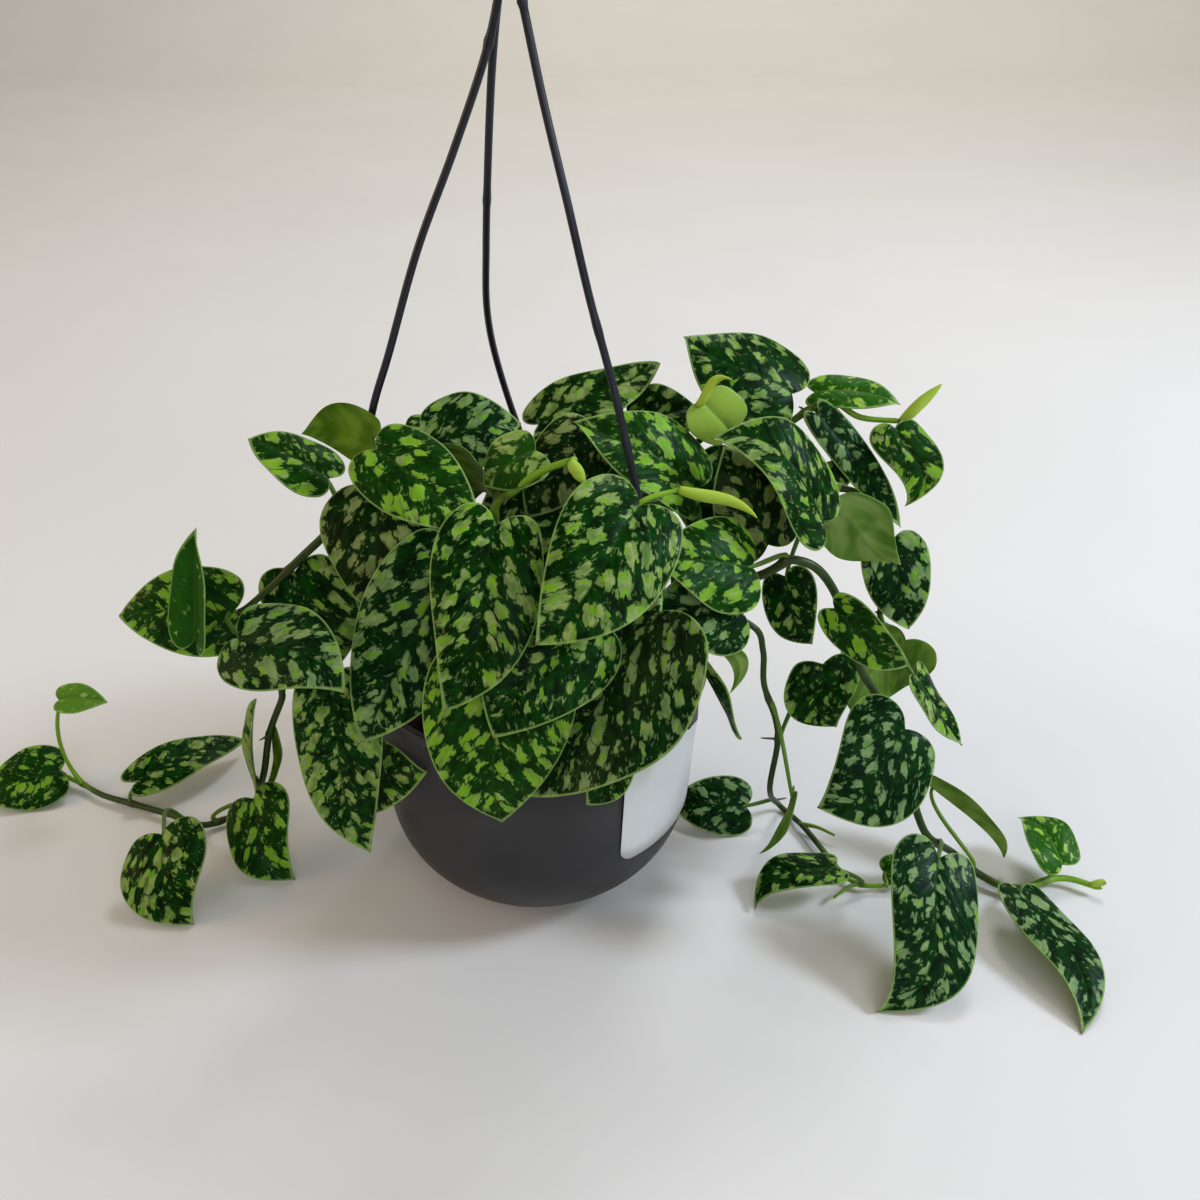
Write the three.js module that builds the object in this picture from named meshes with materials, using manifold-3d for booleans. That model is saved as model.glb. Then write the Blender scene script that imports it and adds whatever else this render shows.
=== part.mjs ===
// A silver scindapsus with tricolor leaves, in the dark plastic hanging pot that it was sold in.
// Millimetres, +Z up. The origin is the middle of the pot's flat base, and -Y is the front.
import * as THREE from "three";
import { mergeVertices } from "three/addons/utils/BufferGeometryUtils.js";
import Module from "manifold-3d";

const wasm = await Module();
wasm.setup();

// Pot: a round bowl under a wall that leans outward, on a low foot, with a bead round its rim
const POT_HEIGHT = 115;
const POT_TOP_RADIUS = 75;
const POT_WALL = 1.8;
const WALL_LEAN = THREE.MathUtils.degToRad(4.4);
const BOWL_RADIUS = 51;
const BOWL_STEPS = 5;
const FOOT_RADIUS = 38;
const BEAD_OUT = 1.6;
const BEAD_HEIGHT = 5;
const BEAD_ROUND = 1;
const POT_SIDES = 32;
const GAP = 0.3;
const SPECK = 0.01;

// Soil: it fills the pot to just under the rim, and each stem stands in a hole in it
const SOIL_TOP = 104;
const SOIL_CROWN = 2;
const SOIL_EDGE_DROP = 1;
const SOIL_EDGE_WIDTH = 3;
const STEM_FOOT = 107;
const ROOT_DEPTH = 24;
const ROOT_REACH = 5;

// Hanger: three rods that leave a hub under a hook, with a clip on the rim at the foot of each
const ROD_RADIUS = 1.55;
const ROD_SIDES = 5;
const ROD_STEPS = 13;
const HUB_PLACE = [-2, 0, 388];
const HUB_RADIUS = 5;
const HUB_TOP_RADIUS = 3;
const HUB_HEIGHT = 9;
const HOOK_RADIUS = 12;
const HOOK_WIRE = 2.2;
const HOOK_STEM = 8;
const HOOK_FROM = -60;
const HOOK_TO = 170;
const HOOK_POINTS = 10;
const HOOK_STEPS = 14;
const CLIP_WIDTH = 9;
const CLIP_DROP = 11;
const CLIP_INSIDE_DROP = 5;
const CLIP_THICK = 1.6;
const CLIP_INSIDE_GAP = 1.3;
const CLIP_TOP = POT_HEIGHT + GAP + CLIP_THICK;

// Sticker: angles round the pot in degrees, and heights up its wall
const STICKER_FROM = -58;
const STICKER_TO = 4;
const STICKER_LOW = 45;
const STICKER_HIGH = 104;
const STICKER_CORNER = 7;
const STICKER_THICK = 0.5;
const STICKER_COLUMNS = 10;

// Leaves and stems
const BLADE_THICK = 0.8;
const BLADE_CUP = 0.26;
const BLADE_WAVE = 0.03;
const WAVE_TURNS = 9;
const WAVE_SHIFT = 2.1;
const WIDE_BLADE = 40;
const WIDE_BLADE_ROWS = 7;
const BLADE_ROWS = 6;
const PETIOLE_RADIUS = 1.2;
const PETIOLE_SIDES = 3;
const PETIOLE_STEPS = 3;
const PETIOLE_SEAT = 0.22;
const PETIOLE_REACH = 0.3;
const PETIOLE_LIFT = 0.2;
const PETIOLE_HEADING = { straight: 0.8, along: 0.45, up: 0.4 };
const RIB_LEAD = 0.15;
const RIB_GROWTH = 1.6;
const SWEEP_FULL = 6.75;
const CURVE_TENSION = 0.5;
const STEM_SIDES = 5;
const STEM_STEP = 20;

// Half of a leaf's outline, from the notch to the tip: along the midrib, and out from it, as
// shares of the leaf's own length and of half its width
const OUTLINE = new THREE.SplineCurve([
  [0, 0], [-0.065, 0.2], [-0.09, 0.46], [-0.05, 0.73], [0.075, 0.93], [0.235, 1],
  [0.41, 0.96], [0.59, 0.81], [0.76, 0.57], [0.9, 0.27], [1, 0],
].map(([along, out]) => new THREE.Vector2(along, out)));

// The clips' bearings on the rim, and the route of each rod from the hub down to its clip
const RODS = [
  { bearing: -30, route: [
    [0, -2, 386], [3, -3, 373], [9, -8, 345], [17, -16, 313], [25, -23, 280],
    [34, -31, 248], [42, -40, 214], [49, -46, 180], [59, -44, 148],
  ] },
  { bearing: 77, route: [
    [-3, 2, 386], [-6, 4, 375], [-10, 12, 350], [-14, 24, 315], [-17, 36, 285],
    [-19, 48, 255], [-16, 59, 226], [-6, 68, 185], [8, 72, 145],
  ] },
  { bearing: -168, route: [
    [-3, -1, 386], [-10, -2, 360], [-23, -4, 328], [-38, -8, 294], [-51, -11, 257],
    [-60, -12, 232], [-67, -10, 200], [-72, -11, 160], [-74, -13, 135],
  ] },
];

// Each stem has the path that it runs along and its leaves. A leaf has the place on the path that
// it grows from, the notch where its stalk meets the blade, its tip, the way that its upper side
// faces as a bearing and a height in degrees, its width, how far it arches up, how steeply its
// halves fold up in degrees, and how far it sweeps to one side.
const STEMS = [
  { name: "stem_floor_left", thick: 3.2, path: [
    [-38, 6, 107], [-55, 6, 132], [-88, 6, 132], [-115, 6, 96], [-119, 6, 85], [-128, 8, 64],
    [-135, 10, 38], [-149, 25, 6], [-160, 18, 4], [-172, 13, 4], [-190, 21, 4], [-208, 28, 4],
    [-229, 36, 4], [-243, 45, 4], [-255, 51, 5],
  ], leaves: [
    [14, [-254, 45, 13], [-292, 34, 5], [-100, 50], 35, 4, 8, 0],
    [13, [-242, 42, 60], [-220, 46, 56], [-120, 50], 18, 3, 25, 0],
    [11.2, [-210, 36, 14], [-166, 78, 8], [-100, 65], 27, 6, 10, 0],
    [9.6, [-175, -24, 30], [-157, -52, 1], [-95, 35], 44, 5, 10, -6],
    [8.3, [-139, 2, 30], [-117, -23, 1], [-100, 35], 36, 5, 12, -6],
    [6.5, [-140, 12, 33], [-131, 6, 86], [-154, 0], 22, 2, 25, 0],
    [5, [-126, 10, 67], [-133, 8, 33], [25, 10], 18, 2, 20, 0],
  ] },
  { name: "stem_high_left", thick: 3.4, path: [
    [-44, -8, 107], [-52, -8, 150], [-51, -12, 205], [-61, -14, 205], [-70, -18, 198], [-80, -20, 186],
    [-93, -22, 174], [-106, -24, 162], [-117, -26, 153], [-123, -28, 150],
  ], leaves: [
    [4.3, [-79, -16, 207], [-112, -4, 219], [-100, 70], 26, 3, 8, 0],
    [9, [-121, -30, 154], [-169, -28, 151], [-95, 38], 38, 4, 8, -1],
    [9, [-130, -52, 154], [-123, -48, 201], [-115, 15], 24, 0, 38, 0],
    [8.4, [-110, -60, 160], [-65, -87, 153], [-95, 42], 37, 4, 8, 6],
    [6.4, [-96, -22, 168], [-82, -32, 127], [-100, 25], 40, 4, 10, 4],
  ] },
  { name: "stem_crown_left", thick: 3.2, path: [
    [-30, -20, 107], [-36, -20, 150], [-43, -22, 209], [-54, -22, 216],
  ], leaves: [
    [1.6, [-57, -25, 204], [-60, -50, 165], [-100, 28], 48, 5, 8, 2],
    [3, [-56, -30, 225], [-15, -56, 202], [-95, 50], 35, 5, 8, 0],
    [3, [-58, -20, 225], [-88, -12, 224], [80, -20], 22, 2, 10, 4],
    [2.6, [-34, -15, 216], [-12, -25, 202], [60, 30], 30, 3, 10, 0],
  ] },
  { name: "stem_crown_back_left", thick: 3, path: [
    [-20, 20, 107], [-26, 20, 150], [-39, 20, 213],
  ], leaves: [
    [2, [-41, 10, 212], [-4, 15, 218], [-95, 45], 38, 4, 8, 0],
    [1.6, [-40, 25, 209], [-55, 22, 202], [-120, 50], 28, 4, 8, 0],
  ] },
  { name: "stem_front_left", thick: 3.2, path: [
    [-45, -32, 107], [-46, -38, 140], [-50, -46, 150], [-66, -47, 138],
  ], leaves: [
    [2, [-27, -50, 188], [-63, -76, 122], [-95, 30], 50, 6, 8, 0],
    [2.8, [-80, -48, 130], [-70, -60, 51], [-95, 22], 38, 4, 10, -4],
    [3, [-81, -36, 75], [-42, -62, 97], [-100, 30], 34, 3, 10, 0],
  ] },
  { name: "stem_front_middle", thick: 3.2, path: [
    [-20, -42, 107], [-17, -44, 140], [-5, -52, 195], [-4, -60, 190],
  ], leaves: [
    [2, [-9, -62, 209], [-28, -95, 150], [-92, 32], 42, 7, 8, 6],
    [3, [-7, -80, 165], [-9, -95, 98], [-90, 28], 58, 6, 8, -3],
    [1.4, [21, -30, 195], [2, -46, 177], [-95, 40], 38, 4, 8, 0],
  ] },
  { name: "stem_front_right", thick: 3.2, path: [
    [22, -36, 107], [26, -35, 145], [40, -47, 205], [36, -60, 200],
  ], leaves: [
    [2, [43, -62, 217], [6, -97, 180], [-90, 32], 46, 7, 8, 4],
    [3, [22, -74, 175], [-10, -100, 142], [-90, 32], 45, 5, 8, -3],
    [2, [58, -44, 215], [87, -50, 206], [-90, 60], 6, 2, 60, 3],
  ] },
  { name: "stem_front_low", thick: 3, path: [
    [40, -40, 107], [44, -46, 135], [44, -62, 166],
  ], leaves: [
    [2, [50, -75, 180], [1, -90, 107], [-134, 63], 68, 0, 1, 2],
    [1.2, [36, -76, 123], [23, -81, 95], [-90, 30], 20, 3, 8, 3],
  ] },
  { name: "stem_new_shoot", thick: 3.4, path: [
    [0, -25, 107], [-2, -28, 160], [-12, -36, 200], [-2, -38, 213], [8, -40, 221], [19, -42, 226],
  ], leaves: [
    [2.6, [4, -28, 224], [-16, -33, 211], [-100, 50], 26, 3, 10, 0],
    [5, [18, -44, 226], [23, -50, 220], [0, 20], 6, 0, 60, 0],
    [2, [25, -10, 224], [0, -32, 197], [-95, 45], 32, 4, 8, 0],
  ] },
  { name: "stem_crown_back", thick: 3, path: [
    [5, 20, 107], [8, 22, 160], [12, 25, 212], [29, 20, 221],
  ], leaves: [
    [2, [3, 20, 216], [54, 35, 237], [-90, 60], 30, 4, 8, -3],
    [1.6, [32, 3, 206], [-22, -9, 183], [-90, 45], 48, 4, 8, 0],
    [3, [45, 25, 212], [70, 30, 219], [-80, 50], 34, 4, 8, 0],
  ] },
  { name: "stem_top_right", thick: 3, path: [
    [30, 25, 107], [36, 25, 160], [79, 20, 217], [99, 20, 226],
  ], leaves: [
    [3, [108, 20, 229], [63, 30, 250], [-172, 43], 43, 4, 2, 4],
    [2, [67, -4, 233], [80, -6, 244], [-95, 40], 5, 1, 60, 4],
    [2, [70, -1, 233], [80, 8, 213], [-91, 34], 25, 5, 13, 2],
  ] },
  { name: "stem_crown_right", thick: 3, path: [
    [45, -5, 107], [50, -5, 155], [93, -15, 188], [118, -20, 187],
  ], leaves: [
    [1.4, [67, -14, 202], [18, -14, 230], [-72, 56], 41, 7, 19, 2],
    [1.2, [87, 2, 205], [67, -10, 174], [-90, 35], 36, 4, 8, 0],
    [3, [116, -30, 195], [71, -24, 227], [-101, 63], 37, 9, 14, -8],
    [2, [96, -25, 182], [77, -12, 219], [-85, 45], 36, 4, 8, 0],
  ] },
  { name: "stem_main_right", thick: 3.6, path: [
    [55, -25, 107], [62, -27, 150], [96, -34, 175], [103, -34, 180], [114, -33, 176], [123, -32, 164],
    [130, -31, 146], [138, -30, 126], [148, -30, 109], [159, -30, 81], [169, -30, 56], [178, -31, 36],
    [196, -18, 14], [209, -25, 6], [223, -33, 5], [247, -26, 5], [264, -33, 5],
  ], leaves: [
    [2.6, [87, -44, 182], [49, -56, 192], [-88, 45], 39, 3, 8, 0],
    [6, [121, -43, 163], [152, -51, 141], [-142, 28], 22, 5, 19, -1],
    [9, [156, -45, 106], [119, -62, 78], [-92, 30], 47, 4, 8, 8],
    [11.4, [176, -56, 45], [144, -102, 1], [-92, 30], 43, 7, 10, 12],
    [14, [220, -47, 16], [227, -113, 1], [-75, 30], 30, 6, 10, 8],
    [14.6, [246, -26, 14], [232, 0, 20], [120, 40], 28, 4, 15, -3],
    [12.6, [186, 1, 40], [223, -15, 8], [40, 30], 24, 1, 35, -7],
  ] },
  { name: "stem_thin_right", thick: 2.8, path: [
    [60, 0, 107], [70, -2, 140], [94, -10, 135], [100, -8, 121], [102, -6, 102], [109, -4, 81],
    [111, -3, 66], [110, 0, 37], [121, 28, 4], [131, 11, 4], [143, -19, 4], [151, -29, 4],
    [163, -30, 4],
  ], leaves: [
    [7.6, [102, 19, 11], [64, 23, 9], [-90, 50], 31, 4, 8, 0],
    [11, [138, -30, 16], [100, -44, 2], [-145, 82], 24, 6, 12, -7],
    [12, [163, -25, 8], [179, -21, 8], [-90, 50], 16, 2, 20, 0],
    [5.8, [127, -8, 114], [135, -14, 84], [-100, 30], 34, 4, 5, -6],
    [4.4, [116, -28, 57], [102, -34, 27], [0, 0], 12, 3, 15, 0],
  ] },
  { name: "stem_high_right", thick: 3, path: [
    [40, 30, 107], [50, 30, 165], [105, 25, 211], [115, 25, 219], [122, 25, 223], [128, 25, 223],
    [138, 24, 217], [155, 22, 216],
  ], leaves: [
    [5, [119, 30, 226], [155, 26, 222], [-90, 60], 19, 4, 10, 0],
    [7, [155, 22, 216], [171, 26, 231], [160, 20], 6, 0, 50, 0],
    [7, [151, 14, 216], [156, 2, 186], [-85, 20], 25, 3, 8, 8],
    [3.6, [120, 18, 220], [158, 10, 172], [-80, 30], 17, 4, 10, 0],
    [3, [127, 15, 201], [133, 10, 192], [-90, 30], 13, 2, 10, 0],
  ] },
  { name: "stem_back_right", thick: 3, path: [
    [50, 15, 107], [62, 15, 150], [114, 15, 183], [135, 14, 188], [149, 14, 174], [154, 14, 154],
    [155, 14, 124],
  ], leaves: [
    [2.6, [125, -2, 187], [155, -8, 164], [90, 40], 46, 5, 10, 8],
    [4, [155, 12, 164], [165, 0, 127], [-90, 28], 31, 4, 10, -1],
    [2.1, [109, 5, 151], [123, 0, 119], [-110, 20], 25, 4, 10, -3],
    [6, [166, 8, 117], [144, 0, 83], [90, 20], 50, 5, 10, 0],
    [5.9, [170, -5, 106], [193, -14, 74], [-45, 82], 24, 0, 11, -1],
  ] },
  { name: "stem_low_right", thick: 2.6, path: [
    [50, -30, 107], [57, -33, 130], [78, -46, 160],
  ], leaves: [
    [2, [84, -51, 166], [48, -58, 174], [-90, 40], 36, 4, 8, 0],
    [1.6, [72, -58, 157], [80, -58, 133], [65, -7], 10, 7, 12, -5],
    [1.6, [67, -51, 146], [85, -61, 112], [-175, 17], 20, 0, 1, 1],
  ] },
];

// Behind the crown, where the stems hang alike: the bearing of each, how far out it hangs, how
// low it reaches, how many leaves it has, and the side that its first leaf is on
const BACK_STEM_THICK = 3;
const BACK_STEM_ROOT = 44;
const BACK_STEM_RISE = 142;
const BACK_STEM_TOP = 172;
const BACK_STEM_BEND = 158;
const BACK_STEM_LEAN = 6;
const BACK_STEM_SHOULDER = 28;
const BACK_STEM_TUCK = 1;
const BACK_STEM_CLEAR = 10;
const BACK_LEAF_FIRST = 0.3;
const BACK_LEAF_BASE = { out: 13, up: 10, aside: 9 };
const BACK_LEAF_TIP = { out: 24, down: 30, aside: 20, flare: 6, lift: 24 };
const BACK_LEAF = { width: 34, arch: 5, fold: 9, sweep: 3, height: 35, turn: 12 };
const BACK_STEMS = [
  { name: "stem_back_1", bearing: 45, hang: 92, reach: 62, leaves: 4, first: -1 },
  { name: "stem_back_2", bearing: 74, hang: 92, reach: 36, leaves: 5, first: -1 },
  { name: "stem_back_3", bearing: 102, hang: 96, reach: 54, leaves: 4, first: 1 },
  { name: "stem_back_4", bearing: 130, hang: 86, reach: 70, leaves: 4, first: 1 },
];

const vector = (point) => new THREE.Vector3(...point);

function bearingVector(bearing, height = 0) {
  const b = THREE.MathUtils.degToRad(bearing);
  const h = THREE.MathUtils.degToRad(height);
  return new THREE.Vector3(Math.cos(b) * Math.cos(h), Math.sin(b) * Math.cos(h), Math.sin(h));
}

function smoothCurve(points) {
  return new THREE.CatmullRomCurve3(points.map(vector), false, "catmullrom", CURVE_TENSION);
}

function stemSteps(curve) {
  return Math.ceil(curve.getLength() / STEM_STEP);
}

// The point and the direction of a stem at a place counted in points of its path, taken on the
// straight lengths that the solid stem is made of
function onStem(stem, place) {
  const curve = smoothCurve(stem.path);
  const wanted = curve.getPoint(place / (stem.path.length - 1));
  const rings = curve.getSpacedPoints(stemSteps(curve));
  const nearest = rings.slice(1).map((ring, i) => {
    const line = new THREE.Line3(rings[i], ring);
    const point = line.closestPointToPoint(wanted, true, new THREE.Vector3());
    const direction = line.delta(new THREE.Vector3()).normalize();
    return { point, direction, away: point.distanceTo(wanted) };
  });
  return nearest.reduce((best, other) => (other.away < best.away ? other : best));
}

function toSolid(geometry) {
  const bare = geometry.clone();
  bare.deleteAttribute("normal");
  bare.deleteAttribute("uv");
  const merged = mergeVertices(bare);
  return new wasm.Manifold(new wasm.Mesh({
    numProp: 3,
    vertProperties: new Float32Array(merged.attributes.position.array),
    triVerts: new Uint32Array(merged.index.array),
  }));
}

function toGeometry(solid) {
  const mesh = solid.getMesh();
  const geometry = new THREE.BufferGeometry();
  geometry.setAttribute("position", new THREE.BufferAttribute(mesh.vertProperties, 3));
  geometry.setIndex(new THREE.BufferAttribute(mesh.triVerts, 1));
  geometry.computeVertexNormals();
  return geometry;
}

// Joins pieces into one; where two faces only just meet, that can leave a speck, which is dropped
function fuse(geometries) {
  const joined = geometries.map(toSolid).reduce((whole, piece) => whole.add(piece));
  const kept = joined.decompose().filter((piece) => piece.volume() > SPECK);
  return kept.reduce((whole, piece) => whole.add(piece));
}

function tube(curve, radius, sides, steps) {
  const corners = Array.from({ length: sides }, (_, i) => {
    const turn = (2 * Math.PI * i) / sides;
    return new THREE.Vector2(radius * Math.cos(turn), radius * Math.sin(turn));
  });
  const outline = new THREE.Shape(corners);
  return new THREE.ExtrudeGeometry(outline, { steps, bevelEnabled: false, extrudePath: curve });
}

// A leaf's own directions: along its midrib, across it, and up out of its upper side
function leafFrame(base, tip, face) {
  const start = vector(base);
  const along = vector(tip).sub(start);
  const length = along.length();
  along.divideScalar(length);
  const up = bearingVector(...face);
  up.addScaledVector(along, -up.dot(along)).normalize();
  const across = new THREE.Vector3().crossVectors(up, along);
  return { start, length, along, up, across };
}

// The share of the midrib that a row of the blade starts from; rows run out and forward from it
function ribShare(row) {
  return row * (RIB_LEAD + (1 - RIB_LEAD) * row ** RIB_GROWTH);
}

function bladePoint(leaf, order, row, out) {
  const [, base, tip, face, width, arch, fold, sweep] = leaf;
  const { start, length, along, up, across } = leafFrame(base, tip, face);
  const edge = OUTLINE.getPoint(row);
  const reach = Math.abs(out);
  const side = out > 0 ? 1 : -1;
  const x = ribShare(row) + (edge.x - ribShare(row)) * reach;
  const flat = (edge.y * reach * width) / 2;
  const tilt = THREE.MathUtils.degToRad(fold);
  const wave = BLADE_WAVE * width * reach ** 2 * Math.sin(WAVE_TURNS * x + WAVE_SHIFT * order + side);
  const cup = (BLADE_CUP * flat ** 2) / (width / 2);
  const rise = flat * Math.sin(tilt) - cup + arch * 4 * x * (1 - x) + wave;
  const aside = side * flat * Math.cos(tilt) + sweep * SWEEP_FULL * x * x * (1 - x);
  return start.addScaledVector(along, x * length).addScaledVector(across, aside).addScaledVector(up, rise);
}

// A blade is a thin waved sheet, split into triangles alike on its upper and lower faces
function bladeGeometry(leaf, order) {
  const wide = leaf[4] > WIDE_BLADE;
  const rows = wide ? WIDE_BLADE_ROWS : BLADE_ROWS;
  const outs = wide ? [-1, -0.5, 0, 0.5, 1] : [-1, 0, 1];
  const last = outs.length - 1;
  const { up } = leafFrame(leaf[1], leaf[2], leaf[3]);
  const positions = [];
  const index = [];
  const number = {};
  for (const level of [1, -1]) {
    for (let row = 0; row <= rows; row += 1) {
      const pointed = row === 0 || row === rows;
      outs.forEach((out, column) => {
        if (pointed && column > 0) {
          number[[level, row, column]] = number[[level, row, 0]];
          return;
        }
        const point = bladePoint(leaf, order, row / rows, pointed ? 0 : out);
        point.addScaledVector(up, (level * BLADE_THICK) / 2);
        number[[level, row, column]] = positions.length / 3;
        positions.push(point.x, point.y, point.z);
      });
    }
  }
  const triangle = (a, b, c) => {
    if (a !== b && b !== c && a !== c) index.push(a, b, c);
  };
  for (let row = 0; row < rows; row += 1) {
    for (let column = 0; column < last; column += 1) {
      for (const level of [1, -1]) {
        const a = number[[level, row, column]];
        const b = number[[level, row + 1, column]];
        const c = number[[level, row + 1, column + 1]];
        const d = number[[level, row, column + 1]];
        if (level > 0) {
          triangle(a, b, c);
          triangle(a, c, d);
        } else {
          triangle(a, c, b);
          triangle(a, d, c);
        }
      }
    }
    for (const column of [0, last]) {
      const a = number[[1, row, column]];
      const b = number[[1, row + 1, column]];
      const c = number[[-1, row + 1, column]];
      const d = number[[-1, row, column]];
      if (column === last) {
        triangle(a, b, c);
        triangle(a, c, d);
      } else {
        triangle(a, c, b);
        triangle(a, d, c);
      }
    }
  }
  const geometry = new THREE.BufferGeometry();
  geometry.setAttribute("position", new THREE.Float32BufferAttribute(positions, 3));
  geometry.setIndex(index);
  return geometry;
}

// The stalk leaves its stem a little forward and up, and comes in under the notch of the blade
function petioleGeometry(stem, leaf) {
  const [place, base, tip, face] = leaf;
  const from = onStem(stem, place);
  const { start, along, up } = leafFrame(base, tip, face);
  const span = from.point.distanceTo(start);
  const leaving = from.point.clone().addScaledVector(from.direction, span * PETIOLE_REACH);
  leaving.z += span * PETIOLE_LIFT;
  const heading = start.clone().sub(from.point).normalize().multiplyScalar(PETIOLE_HEADING.straight)
    .addScaledVector(along, PETIOLE_HEADING.along).addScaledVector(up, PETIOLE_HEADING.up).normalize();
  const arriving = start.clone().addScaledVector(heading, -span * PETIOLE_REACH);
  const end = bladePoint(leaf, 0, PETIOLE_SEAT, 0);
  const curve = new THREE.CubicBezierCurve3(from.point, leaving, arriving, end);
  return tube(curve, PETIOLE_RADIUS, PETIOLE_SIDES, PETIOLE_STEPS);
}

function rootGeometry(stem, extra) {
  const [x, y, z] = stem.path[0];
  const radius = stem.thick / 2 + extra;
  const height = ROOT_DEPTH + ROOT_REACH + extra;
  const geometry = new THREE.CylinderGeometry(radius, radius, height, STEM_SIDES);
  geometry.rotateX(Math.PI / 2);
  geometry.translate(x, y, z + ROOT_REACH - height / 2);
  return geometry;
}

function leafyStem(stem, firstOrder) {
  const curve = smoothCurve(stem.path);
  const pieces = [rootGeometry(stem, 0), tube(curve, stem.thick / 2, STEM_SIDES, stemSteps(curve))];
  stem.leaves.forEach((leaf, i) => {
    pieces.push(petioleGeometry(stem, leaf), bladeGeometry(leaf, firstOrder + i));
  });
  return fuse(pieces);
}

// A stem behind the crown rises from the soil, bends over the rim and hangs, with its leaves to
// the left and the right by turns
function hangingStem({ name, bearing, hang, reach, leaves, first }) {
  const outward = bearingVector(bearing);
  const sideways = bearingVector(bearing + 90);
  const at = (radius, height, aside = 0) => [
    radius * outward.x + aside * sideways.x, radius * outward.y + aside * sideways.y, height,
  ];
  const low = reach + BACK_STEM_CLEAR;
  const middle = (BACK_STEM_BEND + low) / 2;
  const path = [
    at(BACK_STEM_ROOT, STEM_FOOT), at(BACK_STEM_ROOT + BACK_STEM_LEAN, BACK_STEM_RISE),
    at(hang - BACK_STEM_SHOULDER, BACK_STEM_TOP), at(hang - BACK_STEM_LEAN, BACK_STEM_BEND),
    at(hang, middle), at(hang - BACK_STEM_TUCK, low),
  ];
  const stem = { name, thick: BACK_STEM_THICK, path };
  const curve = smoothCurve(path);
  stem.leaves = Array.from({ length: leaves }, (_, i) => {
    const share = THREE.MathUtils.lerp(BACK_LEAF_FIRST, 1, i / (leaves - 1));
    const place = share * (path.length - 1);
    const node = curve.getPoint(share);
    const radius = Math.hypot(node.x, node.y);
    const side = i % 2 === 0 ? first : -first;
    const { out, up, aside } = BACK_LEAF_BASE;
    const base = at(radius + out, node.z + up, side * aside);
    const tip = at(
      radius + BACK_LEAF_TIP.out + BACK_LEAF_TIP.flare * (1 - share),
      node.z - BACK_LEAF_TIP.down + BACK_LEAF_TIP.lift * (1 - share), side * BACK_LEAF_TIP.aside,
    );
    const { width, arch, fold, sweep, height, turn } = BACK_LEAF;
    return [place, base, tip, [bearing + side * turn, height], width, arch, fold, side * sweep];
  });
  return stem;
}

// Pot
function wallRadius(height) {
  return POT_TOP_RADIUS - (POT_HEIGHT - height) * Math.tan(WALL_LEAN);
}

const BOWL_CENTRE = wallRadius(BOWL_RADIUS) - BOWL_RADIUS / Math.cos(WALL_LEAN);

// Points of the bowl's round, from an angle below level up to the wall
function bowlArc(radius, fromAngle) {
  return Array.from({ length: BOWL_STEPS + 1 }, (_, i) => {
    const angle = THREE.MathUtils.lerp(fromAngle, WALL_LEAN, i / BOWL_STEPS);
    return [BOWL_CENTRE + radius * Math.cos(angle), BOWL_RADIUS - radius * Math.sin(angle)];
  });
}

function lathe(profile, segments) {
  const geometry = new THREE.LatheGeometry(profile.map(([r, z]) => new THREE.Vector2(r, z)), segments);
  geometry.rotateX(Math.PI / 2);
  return geometry;
}

function potSolid() {
  const footAngle = Math.acos((FOOT_RADIUS - BOWL_CENTRE) / BOWL_RADIUS);
  const outside = bowlArc(BOWL_RADIUS, footAngle);
  const inside = bowlArc(BOWL_RADIUS - POT_WALL, Math.PI / 2).reverse();
  const beadFoot = POT_HEIGHT - BEAD_HEIGHT;
  const topOut = POT_TOP_RADIUS + BEAD_OUT;
  const profile = [
    [0, 0], [FOOT_RADIUS, 0], ...outside,
    [wallRadius(beadFoot), beadFoot], [topOut, beadFoot + BEAD_ROUND], [topOut, POT_HEIGHT - BEAD_ROUND],
    [topOut - BEAD_ROUND, POT_HEIGHT], [POT_TOP_RADIUS - POT_WALL, POT_HEIGHT], ...inside, [0, POT_WALL],
  ];
  return toSolid(lathe(profile, POT_SIDES));
}

function soilSolid(stems) {
  const clear = POT_WALL + GAP;
  const edge = wallRadius(SOIL_TOP) - clear / Math.cos(WALL_LEAN);
  const profile = [
    [0, clear], ...bowlArc(BOWL_RADIUS - clear, Math.PI / 2),
    [edge, SOIL_TOP - SOIL_EDGE_DROP], [edge - SOIL_EDGE_WIDTH, SOIL_TOP],
    [edge / 2, SOIL_TOP + SOIL_CROWN], [0, SOIL_TOP + SOIL_CROWN],
  ];
  const soil = toSolid(lathe(profile, POT_SIDES));
  return stems.reduce((rest, stem) => rest.subtract(toSolid(rootGeometry(stem, GAP))), soil);
}

// Hanger
function clipGeometries(bearing) {
  const outer = POT_TOP_RADIUS + BEAD_OUT + GAP;
  const inner = POT_TOP_RADIUS - POT_WALL - CLIP_INSIDE_GAP;
  const box = (from, to, low, high) => {
    const geometry = new THREE.BoxGeometry(to - from, CLIP_WIDTH, high - low);
    geometry.translate((from + to) / 2, 0, (low + high) / 2);
    geometry.rotateZ(THREE.MathUtils.degToRad(bearing));
    return geometry;
  };
  return [
    box(outer, outer + CLIP_THICK, POT_HEIGHT - CLIP_DROP, CLIP_TOP),
    box(inner - CLIP_THICK, outer + CLIP_THICK, POT_HEIGHT + GAP, CLIP_TOP),
    box(inner - CLIP_THICK, inner, POT_HEIGHT - CLIP_INSIDE_DROP, CLIP_TOP),
  ];
}

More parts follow.
